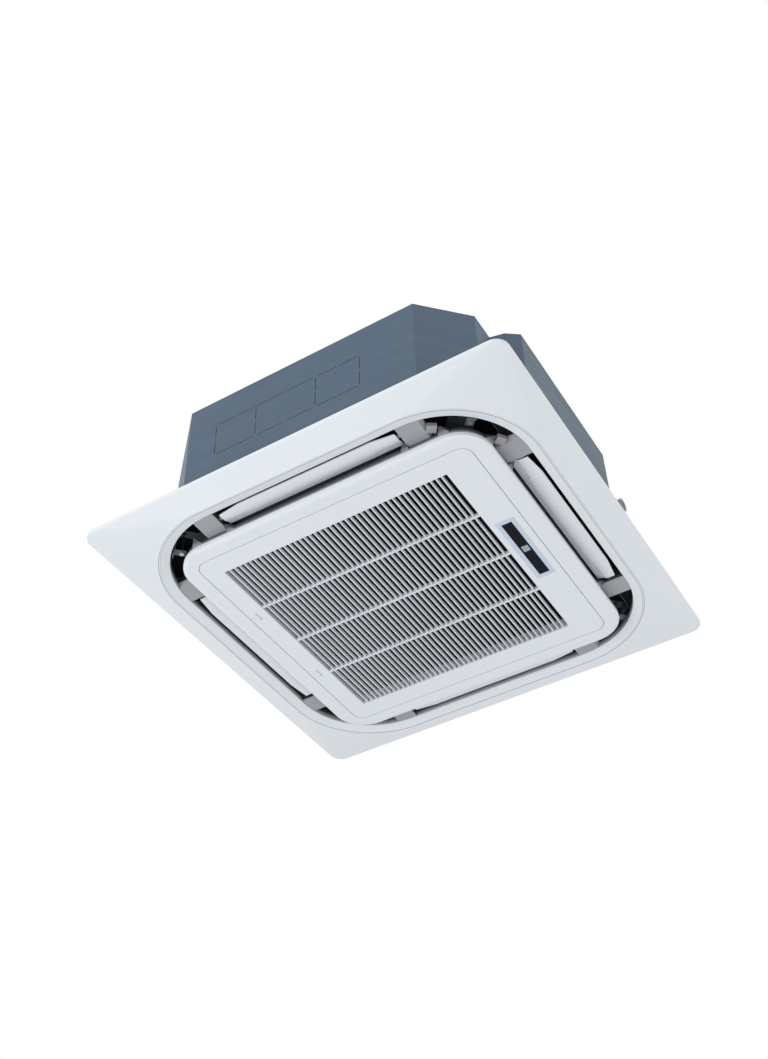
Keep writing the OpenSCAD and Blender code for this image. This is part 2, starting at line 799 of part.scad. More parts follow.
// Motor, hung from the top by four studs in rubbers
module stud_places() { for (k = [0:3]) rotate([0, 0, 90 * k]) translate([stud_y, 0, 0]) children(); }
module motor_bracket() color("#9aa2a8") {
    slab(hat_z, hat_t) circle(hat_r);
    tube(hat_r, hat_r - hat_t, hat_z, lid_z - hat_z);
    stud_places() translate([0, 0, stud_z]) cylinder(r = stud_r, h = hat_z - stud_z);
}
module motor_rubbers() color("#222222") stud_places() tube(rubber_r, stud_r, flange_z + motor_flange_t, rubber_h);
module motor_nuts() color("silver") stud_places() tube(stud_r * 2, stud_r, flange_z - nut_h, nut_h);
module fan_motor() color("#d0d4d7") difference() {
    union() {
        translate([0, 0, motor_z]) cylinder(r = motor_r, h = motor_h);
        translate([0, 0, flange_z]) cylinder(r = motor_flange_r, h = motor_flange_t);
    }
    translate([0, 0, motor_z - cut]) cylinder(r = shaft_r + run_gap, h = motor_h - motor_flange_t + cut);
    stud_places() translate([0, 0, flange_z - cut]) cylinder(r = stud_r, h = motor_flange_t + 2 * cut);
}
module motor_shaft() color("#aeb4b8") translate([0, 0, shaft_z])
    cylinder(r = shaft_r, h = motor_z + motor_h - motor_flange_t - lie_gap - shaft_z);

// Fan wheel: a dished back plate, curved blades and a shroud
module fan_profile() {
    polygon([[shaft_r, hub_z], [hub_r, hub_z], [hub_r, cup_z - fan_plate], [cup_in_r + fan_plate, cup_z - fan_plate],
        [cup_r + fan_plate, fan_top - fan_plate], [fan_r, fan_top - fan_plate], [fan_r, fan_top],
        [cup_r, fan_top], [cup_in_r, cup_z], [hub_r, cup_z], [hub_r, hub_z + hub_h], [shaft_r, hub_z + hub_h]]);
}
module shroud_profile() {
    polygon([[shroud_r, shroud_lip_z], [shroud_r + fan_plate, shroud_lip_z], [shroud_r + fan_plate, fan_bottom],
        [fan_r, fan_bottom], [fan_r, fan_bottom + fan_plate], [shroud_r, fan_bottom + fan_plate]]);
}
module fan_blade() {
    intersection() {
        translate([0, blade_in_r, 0]) tube(blade_curve_r, blade_curve_r - fan_blade_t, fan_bottom + fan_plate / 2,
            fan_top - fan_bottom - fan_plate);
        tube(blade_tip_r, blade_in_r, fan_bottom, fan_top - fan_bottom);
        block(0, fan_r, -fan_r, fan_r, fan_bottom, fan_top);
    }
}
module turbo_fan() color("#e4e7e9") {
    rotate_extrude($fn = 2 * hull_fn) fan_profile();
    rotate_extrude($fn = 2 * hull_fn) shroud_profile();
    for (i = [0:fan_blades - 1]) rotate([0, 0, 360 * i / fan_blades]) fan_blade();
}
module fan_nut() color("silver") translate([0, 0, hub_z - fan_nut_h]) difference() {
    cylinder(r = nut_r, h = fan_nut_h, $fn = 6);
    translate([0, 0, -cut]) cylinder(r = shaft_r, h = fan_nut_h + 2 * cut);
}

// Control box under the front edge of the bell mouth
module control_box() color("#aab2b8") difference() {
    block(-box_x / 2, box_x / 2, box_y0, box_y1, box_z, box_z + box_h);
    block(-box_x / 2 + box_wall, box_x / 2 - box_wall, box_y0 + box_wall, box_y1 - box_wall, box_z - cut,
        box_z + box_h - box_wall);
}
module control_box_cover() color("#b6bdc3")
    block(-box_x / 2, box_x / 2, box_y0, box_y1, box_z - box_wall, box_z);
module control_board() color("#2f6b46") {
    block(-box_x / 2 + board_gap, box_x / 4, box_y0 + board_gap, box_y1 - board_gap, board_under - board_t,
        board_under);
    for (i = [-1:1]) translate([i * box_x / 6 - box_x / 12, box_y0 + box_d / 2, board_under])
        cylinder(r = board_gap / 2, h = board_gap / 2);
    for (i = [0:2]) translate([-box_x / 3 + i * box_x / 6, box_y0 + board_gap * 3, board_under - board_t - chip_h])
        cube([board_gap * 3, board_gap * 3, chip_h]);
}
module terminal_block() color("#e8e4d8") translate([box_x / 2 - box_wall - term_w - lie_gap * 10,
    box_y0 + board_gap * 4, box_z + box_h - box_wall - term_h]) cube([term_w, term_d, term_h]);

// Outer panel: a hollow shell that slopes down to the groove and back up to the opening
module outer_panel() color("#e6ebee") difference() {
    union() {
        difference() {
            hull() {
                slab(z_rim, rim_h) rsq(panel_w / 2, panel_r);
                slab(z_groove, cut) rsq(groove_half, groove_r);
            }
            difference() {
                hull() {
                    slab(z_rim, rim_h + cut) rsq(panel_w / 2 - panel_t, panel_r - panel_t);
                    slab(z_groove + panel_t, cut) rsq(groove_half - panel_t, groove_r - panel_t);
                }
                hull() {
                    slab(z_groove, panel_t) rsq(groove_half, groove_r);
                    slab(z_lip + panel_t, seat_gap) rsq(lip_half + panel_t, lip_r + panel_t);
                }
                slab(z_lip, -z_lip) rsq(lip_half + panel_t, lip_r + panel_t);
            }
        }
        sides() ends() translate([arm_mid, -boss_y, z_lip]) cylinder(r = boss_r, h = -z_lip);
        diagonals() block(lip_diag - lug_pad, lip_diag + panel_t / 2, -lug_w / 2, lug_w / 2, z_lip, lug_pad_top);
    }
    hull() {
        slab(z_groove - cut, cut) rsq(groove_half - land, groove_r - land);
        slab(z_lip, seat_gap) rsq(lip_half, lip_r);
    }
    slab(z_groove - cut, cut + groove_d) difference() {
        rsq(groove_half, groove_r);
        rsq(groove_half - groove_w, groove_r - groove_w);
    }
    slab(z_groove - 2 * cut, panel_w) difference() {
        rsq(lip_half, lip_r);
        diagonals() translate([lip_diag, 0]) square([2 * lug_pad, lug_w], center = true);
    }
    sides() ends() translate([arm_mid, -boss_y, foot_t - frame_screw_l]) cylinder(r = boss_hole_r,
        h = frame_screw_l);
}
module panel_lugs() color("#8b939a") diagonals() difference() {
    union() {
        block(lug_in, lip_diag - lug_pad, -lug_w / 2, lug_w / 2, lug_z, lug_z + brk_t);
        block(lip_diag - lug_pad - brk_t, lip_diag - lug_pad, -lug_w / 2, lug_w / 2, lug_z - lug_leg, lug_z + brk_t);
    }
    translate([fix_diag, 0, lug_z - cut]) cylinder(r = fix_r + lie_gap, h = brk_t + 2 * cut);
}
module panel_screws() color("silver") for (k = [0:3]) rotate([0, 0, 45 + 90 * k])
    translate([fix_diag, 0, lug_z]) {
        translate([0, 0, -fix_head_h]) cylinder(r = fix_head_r, h = fix_head_h);
        cylinder(r = fix_r, h = pan_z + (k > 0 ? pocket_d : 0) - lug_z - seat_gap);
    }
module panel_seal() color("#26292c") slab(0, seal_h) difference() {
    rsq(seal_half, seal_r);
    polygon(low_pts);
}

// Foam that leads the air from the pan to the panel: an inner ring in short strips and a pad outside each outlet
module duct_foam() color("#2a2c30") difference() {
    union() {
        slab(shelf_z + shelf_t, pan_z - shelf_z - shelf_t) difference() {
            rsq(upper, duct_r);
            rsq(upper - duct_t, duct_r - duct_t);
            for (k = [0:3], i = [0:duct_cuts]) rotate(90 * k) translate([duct_mid, duct_mid])
                rotate(90 * i / duct_cuts) translate([0, -lie_gap / 2]) square([casing_w, lie_gap]);
        }
        sides() block(-duct_half, duct_half, -duct_out, -lip_half, 0, pan_z);
    }
    translate([float_x, float_y, pan_z - plug_h - lie_gap]) cylinder(r = plug_r + lie_gap, h = pan_h);
}

// Centre frame: a boxed ring with a rebate for the grille, and eight arms out to the rim
module arm() {
    intersection() {
        difference() {
            block(arm_in, arm_end, -lip_half - panel_t, -upper + arm_root, cover_z + cover_t, arm_top);
            block(arm_in + arm_wall, arm_end - arm_wall, -lip_half - panel_w, -upper + arm_root - arm_wall,
                cover_z, arm_top - arm_wall);
            translate([arm_in - cut, -pivot_y, pivot_z]) rotate([0, 90, 0]) cylinder(r = bush_r,
                h = arm_wall + 2 * cut);
        }
        union() {
            slab(z_groove, -z_groove + seat_gap) rsq(lip_half - seat_gap, lip_r - seat_gap);
            block(0, ch, -lip_half - panel_t, 0, seat_gap, arm_top);
        }
    }
    difference() {
        block(arm_mid - foot_w / 2, arm_mid + foot_w / 2, -foot_out, -foot_in, 0, foot_t);
        translate([arm_mid, -boss_y, -cut]) cylinder(r = frame_screw_r, h = foot_t + 2 * cut);
    }
    block(arm_in + arm_wall, arm_end - arm_wall, -foot_in - arm_wall, -foot_in, 0, arm_top);
}
// A gusset on the frame's wall: its plan, cut from below by a slope
module gusset(plan) {
    low = shelf_z - gusset_drop;
    top = shelf_z + shelf_t;
    end = upper + gusset_out + lie_gap * 2;
    intersection() {
        slab(low, top - low) polygon(plan);
        side_view(0, ch) polygon([[upper - panel_t, top], [upper - panel_t, low], [upper, low],
            [end, low + gusset_rise], [end, top]]);
    }
}
module arm_gusset() gusset([[arm_in, -upper + panel_t], [arm_in - gusset_root, -upper + panel_t],
    [arm_in - gusset_root, -upper], [arm_in - gusset_tip, -upper - gusset_out], [arm_in, -upper - gusset_out]]);
module corner_gusset() gusset(concat([for (i = [3, 0]) [arm_end + gusset_pts[i][0], -upper + panel_t]],
    [for (p = gusset_pts) [arm_end + p[0], -upper - p[1]]]));
// The part below the frame's slanted lower edge
module edge_cut() {
    profile = [[-bevel_w, z_face], [0, z_face + bevel_h], [cut, z_face + bevel_h], [cut, z_face - cut],
        [-bevel_w, z_face - cut]];
    sides() {
        side_view(-frame_in, 2 * frame_in) polygon([for (p = profile) [frame_half + p[0], p[1]]]);
        translate([frame_in, -frame_in, 0]) intersection() {
            rotate_extrude() polygon([for (p = profile) [frame_r + p[0], p[1]]]);
            block(0, 2 * frame_r, -2 * frame_r, 0, z_face - 2 * cut, z_face + 2 * panel_t);
        }
    }
}
module centre_frame() color("#e9eef1") {
    wall_half = rebate_half + rebate_wall;
    wall_r = rebate_r + rebate_wall;
    difference() {
        union() {
            slab(z_face, edge_t) difference() {
                rsq(frame_half, frame_r);
                rsq(grille_half + seam, grille_r + seam);
            }
            slab(z_face + edge_t, panel_t - edge_t) difference() {
                rsq(frame_half, frame_r);
                rsq(rebate_half, rebate_r);
            }
            slab(z_face, step_z) difference() {
                rsq(frame_half, frame_r);
                rsq(frame_half - panel_t, frame_r - panel_t);
            }
        }
        edge_cut();
    }
    slab(z_face + step_z - panel_t, panel_t) difference() {
        rsq(frame_half, frame_r);
        rsq(upper - panel_t, upper_r - panel_t);
    }
    slab(z_face + step_z - panel_t, shelf_rise + shelf_t - step_z + panel_t) difference() {
        rsq(upper, upper_r);
        rsq(upper - panel_t, upper_r - panel_t);
    }
    difference() {
        slab(z_face + edge_t, shelf_rise) difference() {
            rsq(wall_half, wall_r);
            rsq(rebate_half, rebate_r);
        }
        for (y = [-hinge_y, hinge_y])
            block(rebate_half - cut, wall_half + cut, y - ear_y, y + ear_y, plate_top, shelf_z);
    }
    slab(shelf_z, shelf_t) difference() {
        rsq(upper, upper_r);
        rsq(rebate_half, shelf_r);
    }
    difference() {
        sides() ends() arm();
        slab(0, arm_top + cut) difference() {
            square(panel_w, center = true);
            polygon(inset(low_pts, sheet_t + seat_gap));
        }
    }
    sides() ends() arm_gusset();
    corner_gusset();
    mirror([1, 1, 0]) corner_gusset();
    mirror([1, 0, 0]) corner_gusset();
    for (y = [-hinge_y, hinge_y], s = [-1, 1]) translate([0, y + s * (ear_y + ear_t / 2), 0]) hinge_ear();
    for (y = [-latch_y, latch_y]) block(-rebate_half - cut, -keeper_in, y - latch_w / 4, y + latch_w / 4,
        plate_top - keeper_h, plate_top);
}
module hinge_ear() {
    difference() {
        block(rebate_half, hinge_x + knuckle_r, -ear_t / 2, ear_t / 2, z_face + edge_t, shelf_z + shelf_t / 2);
        translate([hinge_x, 0, hinge_z]) rotate([90, 0, 0]) cylinder(r = pin_r, h = ear_t + 2 * cut, center = true);
    }
}
module frame_screws() color("silver") sides() ends() translate([arm_mid, -boss_y, foot_t]) {
    translate([0, 0, -frame_screw_l + cut]) cylinder(r = frame_screw_r, h = frame_screw_l - cut);
    cylinder(r = frame_head_r, h = frame_head_h);
}

// Grey covers under the arms, turned up towards the corner, and two small boxes at the front right
module bridge_cover() {
    intersection() {
        union() {
            block(arm_in, arm_end, -lip_half, -upper + seat_gap, cover_z, cover_z + cover_t);
            side_wedge();
        }
        slab(cover_z - cut, arm_top - cover_z) difference() {
            rsq(lip_half - seat_gap, lip_r - seat_gap);
            rsq(upper + seat_gap, upper_r);
        }
    }
}
module side_wedge() translate([arm_end, 0, 0]) rotate([90, 0, 0]) linear_extrude(lip_half) polygon([
    [0, cover_z], [cover_out, cover_z + cover_up], [cover_out, cover_z + cover_up + cover_t],
    [0, cover_z + cover_t]]);
module cover_post() {
    slab(cover_z, post_h) intersection() {
        translate([post_x, -post_y]) rotate(post_turn) square([post_l, post_w], center = true);
        difference() {
            translate([arm_end + seat_gap, -lip_half]) square(lip_half);
            rsq(upper + seat_gap, upper_r);
        }
    }
}
module bridge_covers() color("#a9abb2") {
    sides() ends() bridge_cover();
    cover_post();
    mirror([1, 1, 0]) cover_post();
}

// Louvre blade: an arc between its two edges, an upturned strip, end plates and pivot stubs
function blade_dir() = (blade_out - blade_in) / norm(blade_out - blade_in);
function blade_pt(i) = let (t = i / blade_steps, d = blade_dir()) blade_in + t * (blade_out - blade_in)
    + 4 * t * (1 - t) * blade_sag * [d[1], -d[0]];
function blade_off(i, k) = let (d = blade_dir()) blade_pt(i) + k * [d[1], -d[0]];
module louvre() color("#eef1f4") {
    half = louvre_len / 2;
    inner = blade_in[0] + notch_d;
    difference() {
        side_view(-half, louvre_len) polygon(concat([for (i = [0:blade_steps]) blade_pt(i)],
            [for (i = [blade_steps:-1:0]) blade_off(i, -louvre_t)]));
        ends() {
            block(half - notch_l, half + cut, -inner, -blade_in[0] + pivot_off, -casing_w, 0);
            slab(-casing_w, casing_w) polygon([[half - taper_l, -blade_out[0] - taper_d],
                [half - taper_l, -blade_out[0] - cut / 2], [half + cut, -blade_out[0] + taper_d],
                [half + cut, -blade_out[0] - taper_d]]);
        }
    }
    side_view(-half, louvre_len) polygon([strip_in, strip_out, strip_out + [0, strip_t], strip_in + [0, strip_t]]);
    for (s = [-1, 1]) {
        side_view(s * (half - arm_plate / 2) - arm_plate / 2, arm_plate) polygon([
            [pivot_y - stub_r, pivot_z + stub_r], [inner, blade_in[1] - louvre_t / 2],
            blade_pt(blade_steps / 2), blade_off(blade_steps - 3, -louvre_t / 2),
            [pivot_y + stub_r, pivot_z + stub_r]]);
        translate([s > 0 ? half - arm_plate : -arm_in - arm_wall - louvre_motor_l / 2, -pivot_y, pivot_z])
            rotate([0, 90, 0]) cylinder(r = stub_r, h = arm_in + arm_wall + louvre_motor_l / 2 - half + arm_plate);
    }
}
module louvre_front() turned(0) louvre();
module louvre_right() turned(1) louvre();
module louvre_back() turned(2) louvre();
module louvre_left() turned(3) louvre();
module louvre_motors() color("#d7d2c4") sides() translate([arm_in + arm_wall, -pivot_y, pivot_z])
    rotate([0, 90, 0]) difference() {
        cylinder(r = louvre_motor_r, h = louvre_motor_l);
        translate([0, 0, -cut]) cylinder(r = stub_r + run_gap, h = louvre_motor_l / 2 + lie_gap + cut);
    }
module louvre_bushes() color("#f0f0ee") sides() ends() translate([arm_in, -pivot_y, pivot_z])
    rotate([0, 90, 0]) tube(bush_r, stub_r + run_gap, 0, arm_wall);

// Intake grille: a plate with a thin edge, a deep skirt round the slats and two bent hinge necks
module intake_plan(k) {
    translate([intake_cx, intake_cy]) square([intake_x + 2 * k, intake_y + 2 * k], center = true);
}
module grille_frame() color("#e9eef1") difference() {
    union() {
        slab(z_face, edge_t) rsq(grille_half, grille_r);
        slab(z_face, skin) rsq(grille_half - edge_lap, grille_r - edge_lap);
        slab(z_face, flange_h) difference() {
            rsq(grille_half - edge_lap, grille_r - edge_lap);
            rsq(grille_half - edge_lap - skirt_t, grille_r - edge_lap - skirt_t);
        }
        slab(z_face, skirt_h) intake_plan(skirt_t);
        for (y = [-hinge_y, hinge_y]) translate([hinge_x, y, hinge_z]) hinge_neck();
    }
    slab(z_face - cut, skirt_h + 2 * cut) intake_plan(0);
    display_pocket();
    for (y = [-latch_y, latch_y]) {
        block(latch_x - latch_l / 2 - seat_gap, latch_x + latch_l / 2 + seat_gap, y - latch_w / 2 - seat_gap,
            y + latch_w / 2 + seat_gap, z_face - cut, plate_top + cut);
        block(-grille_half - cut, latch_x, y - latch_w / 4 - lie_gap, y + latch_w / 4 + lie_gap, plate_top,
            z_face + skirt_h);
    }
}
module hinge_neck() rotate([90, 0, 0]) linear_extrude(neck_w, center = true) difference() {
    union() {
        translate([-neck_out - neck_t, seat_gap - hinge_up]) square([neck_t, neck_rise + neck_t + hinge_up - seat_gap]);
        translate([-neck_out - neck_t, neck_rise]) square([neck_out + neck_t + riser_w / 2, neck_t]);
        translate([-riser_w / 2, 0]) square([riser_w, neck_rise + neck_t]);
        circle(knuckle_r);
    }
    circle(pin_r + run_gap);
}
module hinge_pins() color("silver") for (y = [-hinge_y, hinge_y]) translate([hinge_x, y, hinge_z]) {
    rotate([90, 0, 0]) cylinder(r = pin_r, h = 2 * ear_y + 2 * ear_t, center = true);
    translate([0, ear_y + ear_t, 0]) rotate([-90, 0, 0]) cylinder(r = pin_head_r, h = pin_head_t);
}
module grille_slats() color("#e4e8ec") {
    for (i = [1:slat_count])
        block(ix0 + i * pitch - slat_t / 2, ix0 + i * pitch + slat_t / 2, iy0, iy1, z_face, z_face + slat_h);
    for (y = rib_y) block(ix0, ix1, y - rib_w / 2, y + rib_w / 2, z_face + seat_gap, z_face + slat_h);
}

// Display: a bezel in a pocket, a dark window with the receiver's lens, and the board behind
module display_place(w, l, z, h) {
    block(bezel_x - w / 2, bezel_x + w / 2, bezel_y - l / 2, bezel_y + l / 2, z, z + h);
}
module display_pocket() {
    display_place(bezel_w + seat_gap, bezel_l + seat_gap, z_face - cut, cut + bezel_t);
    display_place(bezel_w - 2 * bezel_lap, bezel_l - 2 * bezel_lap, z_face - cut, skin + 2 * cut);
}
module display_bezel() color("#afc3dc") difference() {
    union() {
        display_place(bezel_w, bezel_l, z_face, bezel_t);
        display_place(bezel_w - 2 * bezel_lap - seat_gap, bezel_l - 2 * bezel_lap - seat_gap, z_face, skin);
    }
    display_place(window_w, window_l, z_face - cut, skin + 2 * cut);
}
module display_window() color("#0a0c16") difference() {
    display_place(window_w, window_l, z_face + window_sink, window_t);
    display_place(lens_w, lens_l, z_face, skin);
}
module receiver_lens() color("#9fb0bd")
    display_place(lens_w, lens_l, z_face + window_sink, lens_t);
module display_board() color("#2f6b46") {
    display_place(bezel_w - bezel_lap, window_l + 2 * bezel_lap, plate_top + board_rise - board_t, board_t);
    for (y = [-1, 1]) translate([bezel_x - bezel_w / 2 + bezel_lap / 2, bezel_y + y * window_l / 2, plate_top])
        cylinder(r = post_r, h = board_rise);
    display_place(lens_w - bezel_lap, lens_l - bezel_lap, z_face + window_sink + lens_t,
        board_rise + skin - window_sink - lens_t - board_t);
}

// Air filter on top of the skirt
module filter_frame() color("#3c4248") {
    slab(filter_z, filter_t) difference() {
        intake_plan(filter_over);
        intake_plan(filter_over - filter_bar);
    }
    for (f = [-1, 0, 1]) translate([intake_cx + f * intake_x / 4, 0, 0])
        block(-filter_bar / 4, filter_bar / 4, iy0, iy1, filter_z + 2 * mesh_t, filter_z + filter_t);
    block(ix0, ix1, intake_cy - filter_bar / 4, intake_cy + filter_bar / 4, filter_z + 2 * mesh_t,
        filter_z + filter_t);
}
module filter_mesh() color("#15171a") slab(filter_z + mesh_t, mesh_t) intake_plan(filter_over - filter_bar);

// Sliding latches at the left edge
module latch() color("#dfe5e9") {
    block(latch_x - latch_l / 2, latch_x + latch_l / 2 - latch_free, -latch_w / 2, latch_w / 2, z_face, latch_top);
    block(-keeper_in + latch_gap, latch_x, -latch_w / 4, latch_w / 4, plate_top + lie_gap, latch_top);
    block(latch_x - latch_l / 2, latch_x + latch_l / 2 + latch_lap, -latch_w / 2 - latch_lap, latch_w / 2 + latch_lap,
        plate_top + seat_gap, latch_top);
}
module latch_front() translate([0, -latch_y, 0]) latch();
module latch_back() translate([0, latch_y, 0]) latch();

casing_front();
casing_rear();
casing_top();
casing_screws();
hanger_brackets();
side_insulation();
top_insulation();
drain_pan();
drain_plug();
bell_mouth();
corner_brackets();
coil_fins();
coil_end_plates();
coil_bends();
gas_pipe();
liquid_pipe();
flare_nuts();
pipe_plate();
drain_pump();
drain_outlet();
float_stem();
drain_float();
motor_bracket();
motor_rubbers();
motor_nuts();
fan_motor();
motor_shaft();
turbo_fan();
fan_nut();
control_box();
control_box_cover();
control_board();
terminal_block();
outer_panel();
panel_lugs();
panel_screws();
panel_seal();
duct_foam();
centre_frame();
frame_screws();
bridge_covers();
louvre_front();
louvre_right();
louvre_back();
louvre_left();
louvre_motors();
louvre_bushes();
grille_frame();
grille_slats();
hinge_pins();
display_bezel();
display_window();
receiver_lens();
display_board();
filter_frame();
filter_mesh();
latch_front();
latch_back();
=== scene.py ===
import math

import bpy
import bmesh
from mathutils import Matrix, Vector


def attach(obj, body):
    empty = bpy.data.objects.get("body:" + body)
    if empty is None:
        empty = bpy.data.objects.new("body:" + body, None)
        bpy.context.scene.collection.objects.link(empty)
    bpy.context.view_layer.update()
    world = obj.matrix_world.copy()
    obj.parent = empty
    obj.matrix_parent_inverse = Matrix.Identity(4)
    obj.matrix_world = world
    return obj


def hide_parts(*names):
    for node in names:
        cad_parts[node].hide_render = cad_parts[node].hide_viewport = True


# Ceiling cassette air conditioner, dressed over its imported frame.
# Blender's lengths are metres, the sizes in the dictionaries are millimetres. +Z is up, -Y is the front.
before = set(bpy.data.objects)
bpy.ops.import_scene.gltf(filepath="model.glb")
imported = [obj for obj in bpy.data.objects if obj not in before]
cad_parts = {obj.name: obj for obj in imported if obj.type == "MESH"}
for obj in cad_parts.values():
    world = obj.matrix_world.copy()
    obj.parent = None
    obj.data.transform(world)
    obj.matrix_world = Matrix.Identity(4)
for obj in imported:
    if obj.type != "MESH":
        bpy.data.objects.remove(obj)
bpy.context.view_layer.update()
mm = 0.001
print("frame loaded:", len(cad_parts), "nodes")


# Shader groups shared by the materials

def shaderGroup(name, inputs, outputs):
    group = bpy.data.node_groups.new(name, "ShaderNodeTree")
    for label, value in inputs.items():
        socket = group.interface.new_socket(name=label, in_out="INPUT", socket_type="NodeSocketFloat")
        socket.default_value = value
    for label in outputs:
        group.interface.new_socket(name=label, in_out="OUTPUT", socket_type="NodeSocketFloat")
    return group, group.nodes.new("NodeGroupInput"), group.nodes.new("NodeGroupOutput")


def mathNode(tree, operation, first, second=None, clamp=False):
    node = tree.nodes.new("ShaderNodeMath")
    node.operation = operation
    node.use_clamp = clamp
    for i, value in enumerate((first, second)):
        if value is None:
            continue
        if isinstance(value, (int, float)):
            node.inputs[i].default_value = value
        else:
            tree.links.new(value, node.inputs[i])
    return node.outputs[0]


def noiseNode(tree, scale, detail, roughness=0.5):
    place = tree.nodes.new("ShaderNodeTexCoord")
    noise = tree.nodes.new("ShaderNodeTexNoise")
    tree.links.new(place.outputs["Object"], noise.inputs["Vector"])
    if isinstance(scale, (int, float)):
        noise.inputs["Scale"].default_value = scale
    else:
        tree.links.new(scale, noise.inputs["Scale"])
    noise.inputs["Detail"].default_value = detail
    noise.inputs["Roughness"].default_value = roughness
    return noise.outputs["Fac"]


def buildMouldGrain():
    # fine spark-eroded grain of moulded plastic, with a slow change of tone over the part
    group, inlet, outlet = shaderGroup("mouldGrain", {"Grain Scale": 1400.0, "Tone Scale": 5.0},
                                       ("Height", "Tone"))
    grain = noiseNode(group, inlet.outputs["Grain Scale"], detail=2.0)
    tone = noiseNode(group, inlet.outputs["Tone Scale"], detail=3.0)
    group.links.new(grain, outlet.inputs["Height"])
    group.links.new(tone, outlet.inputs["Tone"])
    return group


def buildSheetFinish():
    # painted sheet steel: orange peel, cloudy tone and a few wiped streaks
    group, inlet, outlet = shaderGroup("sheetFinish", {
        "Peel Scale": 500.0, "Cloud Scale": 4.0, "Streak Scale": 9.0}, ("Height", "Cloud", "Streak"))
    peel = noiseNode(group, inlet.outputs["Peel Scale"], detail=2.0)
    cloud = noiseNode(group, inlet.outputs["Cloud Scale"], detail=5.0, roughness=0.6)
    place = group.nodes.new("ShaderNodeTexCoord")
    stretch = group.nodes.new("ShaderNodeMapping")
    stretch.inputs["Scale"].default_value = (0.6, 0.6, 6.0)
    streak = group.nodes.new("ShaderNodeTexNoise")
    group.links.new(place.outputs["Object"], stretch.inputs["Vector"])
    group.links.new(stretch.outputs["Vector"], streak.inputs["Vector"])
    group.links.new(inlet.outputs["Streak Scale"], streak.inputs["Scale"])
    streak.inputs["Detail"].default_value = 4.0
    group.links.new(peel, outlet.inputs["Height"])
    group.links.new(cloud, outlet.inputs["Cloud"])
    group.links.new(streak.outputs["Fac"], outlet.inputs["Streak"])
    return group


def buildZincSpangle():
    # the crystal pattern of galvanised steel
    group, inlet, outlet = shaderGroup("zincSpangle", {"Crystal Scale": 90.0}, ("Height", "Crystal"))
    place = group.nodes.new("ShaderNodeTexCoord")
    cells = group.nodes.new("ShaderNodeTexVoronoi")
    group.links.new(place.outputs["Object"], cells.inputs["Vector"])
    group.links.new(inlet.outputs["Crystal Scale"], cells.inputs["Scale"])
    split = group.nodes.new("ShaderNodeSeparateColor")
    group.links.new(cells.outputs["Color"], split.inputs["Color"])
    group.links.new(noiseNode(group, scale=900.0, detail=2.0), outlet.inputs["Height"])
    group.links.new(split.outputs["Red"], outlet.inputs["Crystal"])
    return group


def buildFoamCells():
    # open cells of cut foam
    group, inlet, outlet = shaderGroup("foamCells", {"Cell Scale": 420.0}, ("Height", "Cell"))
    place = group.nodes.new("ShaderNodeTexCoord")
    cells = group.nodes.new("ShaderNodeTexVoronoi")
    group.links.new(place.outputs["Object"], cells.inputs["Vector"])
    group.links.new(inlet.outputs["Cell Scale"], cells.inputs["Scale"])
    group.links.new(cells.outputs["Distance"], outlet.inputs["Height"])
    group.links.new(noiseNode(group, scale=60.0, detail=3.0), outlet.inputs["Cell"])
    return group


def buildSettledDust():
    # thin dust on faces that look up
    group, inlet, outlet = shaderGroup("settledDust", {"Amount": 0.3}, ("Mask",))
    facing = group.nodes.new("ShaderNodeNewGeometry")
    split = group.nodes.new("ShaderNodeSeparateXYZ")
    group.links.new(facing.outputs["Normal"], split.inputs["Vector"])
    up = mathNode(group, "MULTIPLY", mathNode(group, "SUBTRACT", split.outputs["Z"], 0.5, True), 2.0, True)
    cloud = mathNode(group, "MULTIPLY", up, noiseNode(group, scale=14.0, detail=4.0))
    group.links.new(mathNode(group, "MULTIPLY", cloud, inlet.outputs["Amount"], True), outlet.inputs["Mask"])
    return group


def buildRingShade():
    # Painted shade: Mask grows with height on the walls of a rounded square opening, where little light gets.
    # Line marks the two edges of the groove that runs round the opening, where a darker line of painted shade
    # goes.
    group, inlet, outlet = shaderGroup("ringShade", {
        "Half": 0.4005, "Corner": 0.1805, "Low": -0.021, "Rise": 0.014, "Groove Middle": 0.201,
        "Groove Reach": 0.0018, "Line Width": 0.0005}, ("Mask", "Line"))
    place = group.nodes.new("ShaderNodeTexCoord")
    split = group.nodes.new("ShaderNodeSeparateXYZ")
    group.links.new(place.outputs["Object"], split.inputs["Vector"])
    straight = mathNode(group, "SUBTRACT", inlet.outputs["Half"], inlet.outputs["Corner"])
    squares = []
    for axis in ("X", "Y"):
        past = mathNode(group, "SUBTRACT", mathNode(group, "ABSOLUTE", split.outputs[axis]), straight)
        squares.append(mathNode(group, "POWER", mathNode(group, "MAXIMUM", past, 0.0), 2.0))
    away = mathNode(group, "SQRT", mathNode(group, "ADD", *squares))
    inside = mathNode(group, "LESS_THAN", away, inlet.outputs["Corner"])
    above = mathNode(group, "SUBTRACT", split.outputs["Z"], inlet.outputs["Low"])
    height = mathNode(group, "DIVIDE", above, inlet.outputs["Rise"], True)
    group.links.new(mathNode(group, "MULTIPLY", inside, height, True), outlet.inputs["Mask"])
    miss = away
    for goal in ("Groove Middle", "Groove Reach"):
        miss = mathNode(group, "ABSOLUTE", mathNode(group, "SUBTRACT", miss, inlet.outputs[goal]))
    line = mathNode(group, "LESS_THAN", miss, inlet.outputs["Line Width"])
    group.links.new(line, outlet.inputs["Line"])
    return group


mouldGrain = buildMouldGrain()
sheetFinish = buildSheetFinish()
zincSpangle = buildZincSpangle()
foamCells = buildFoamCells()
settledDust = buildSettledDust()
ringShade = buildRingShade()


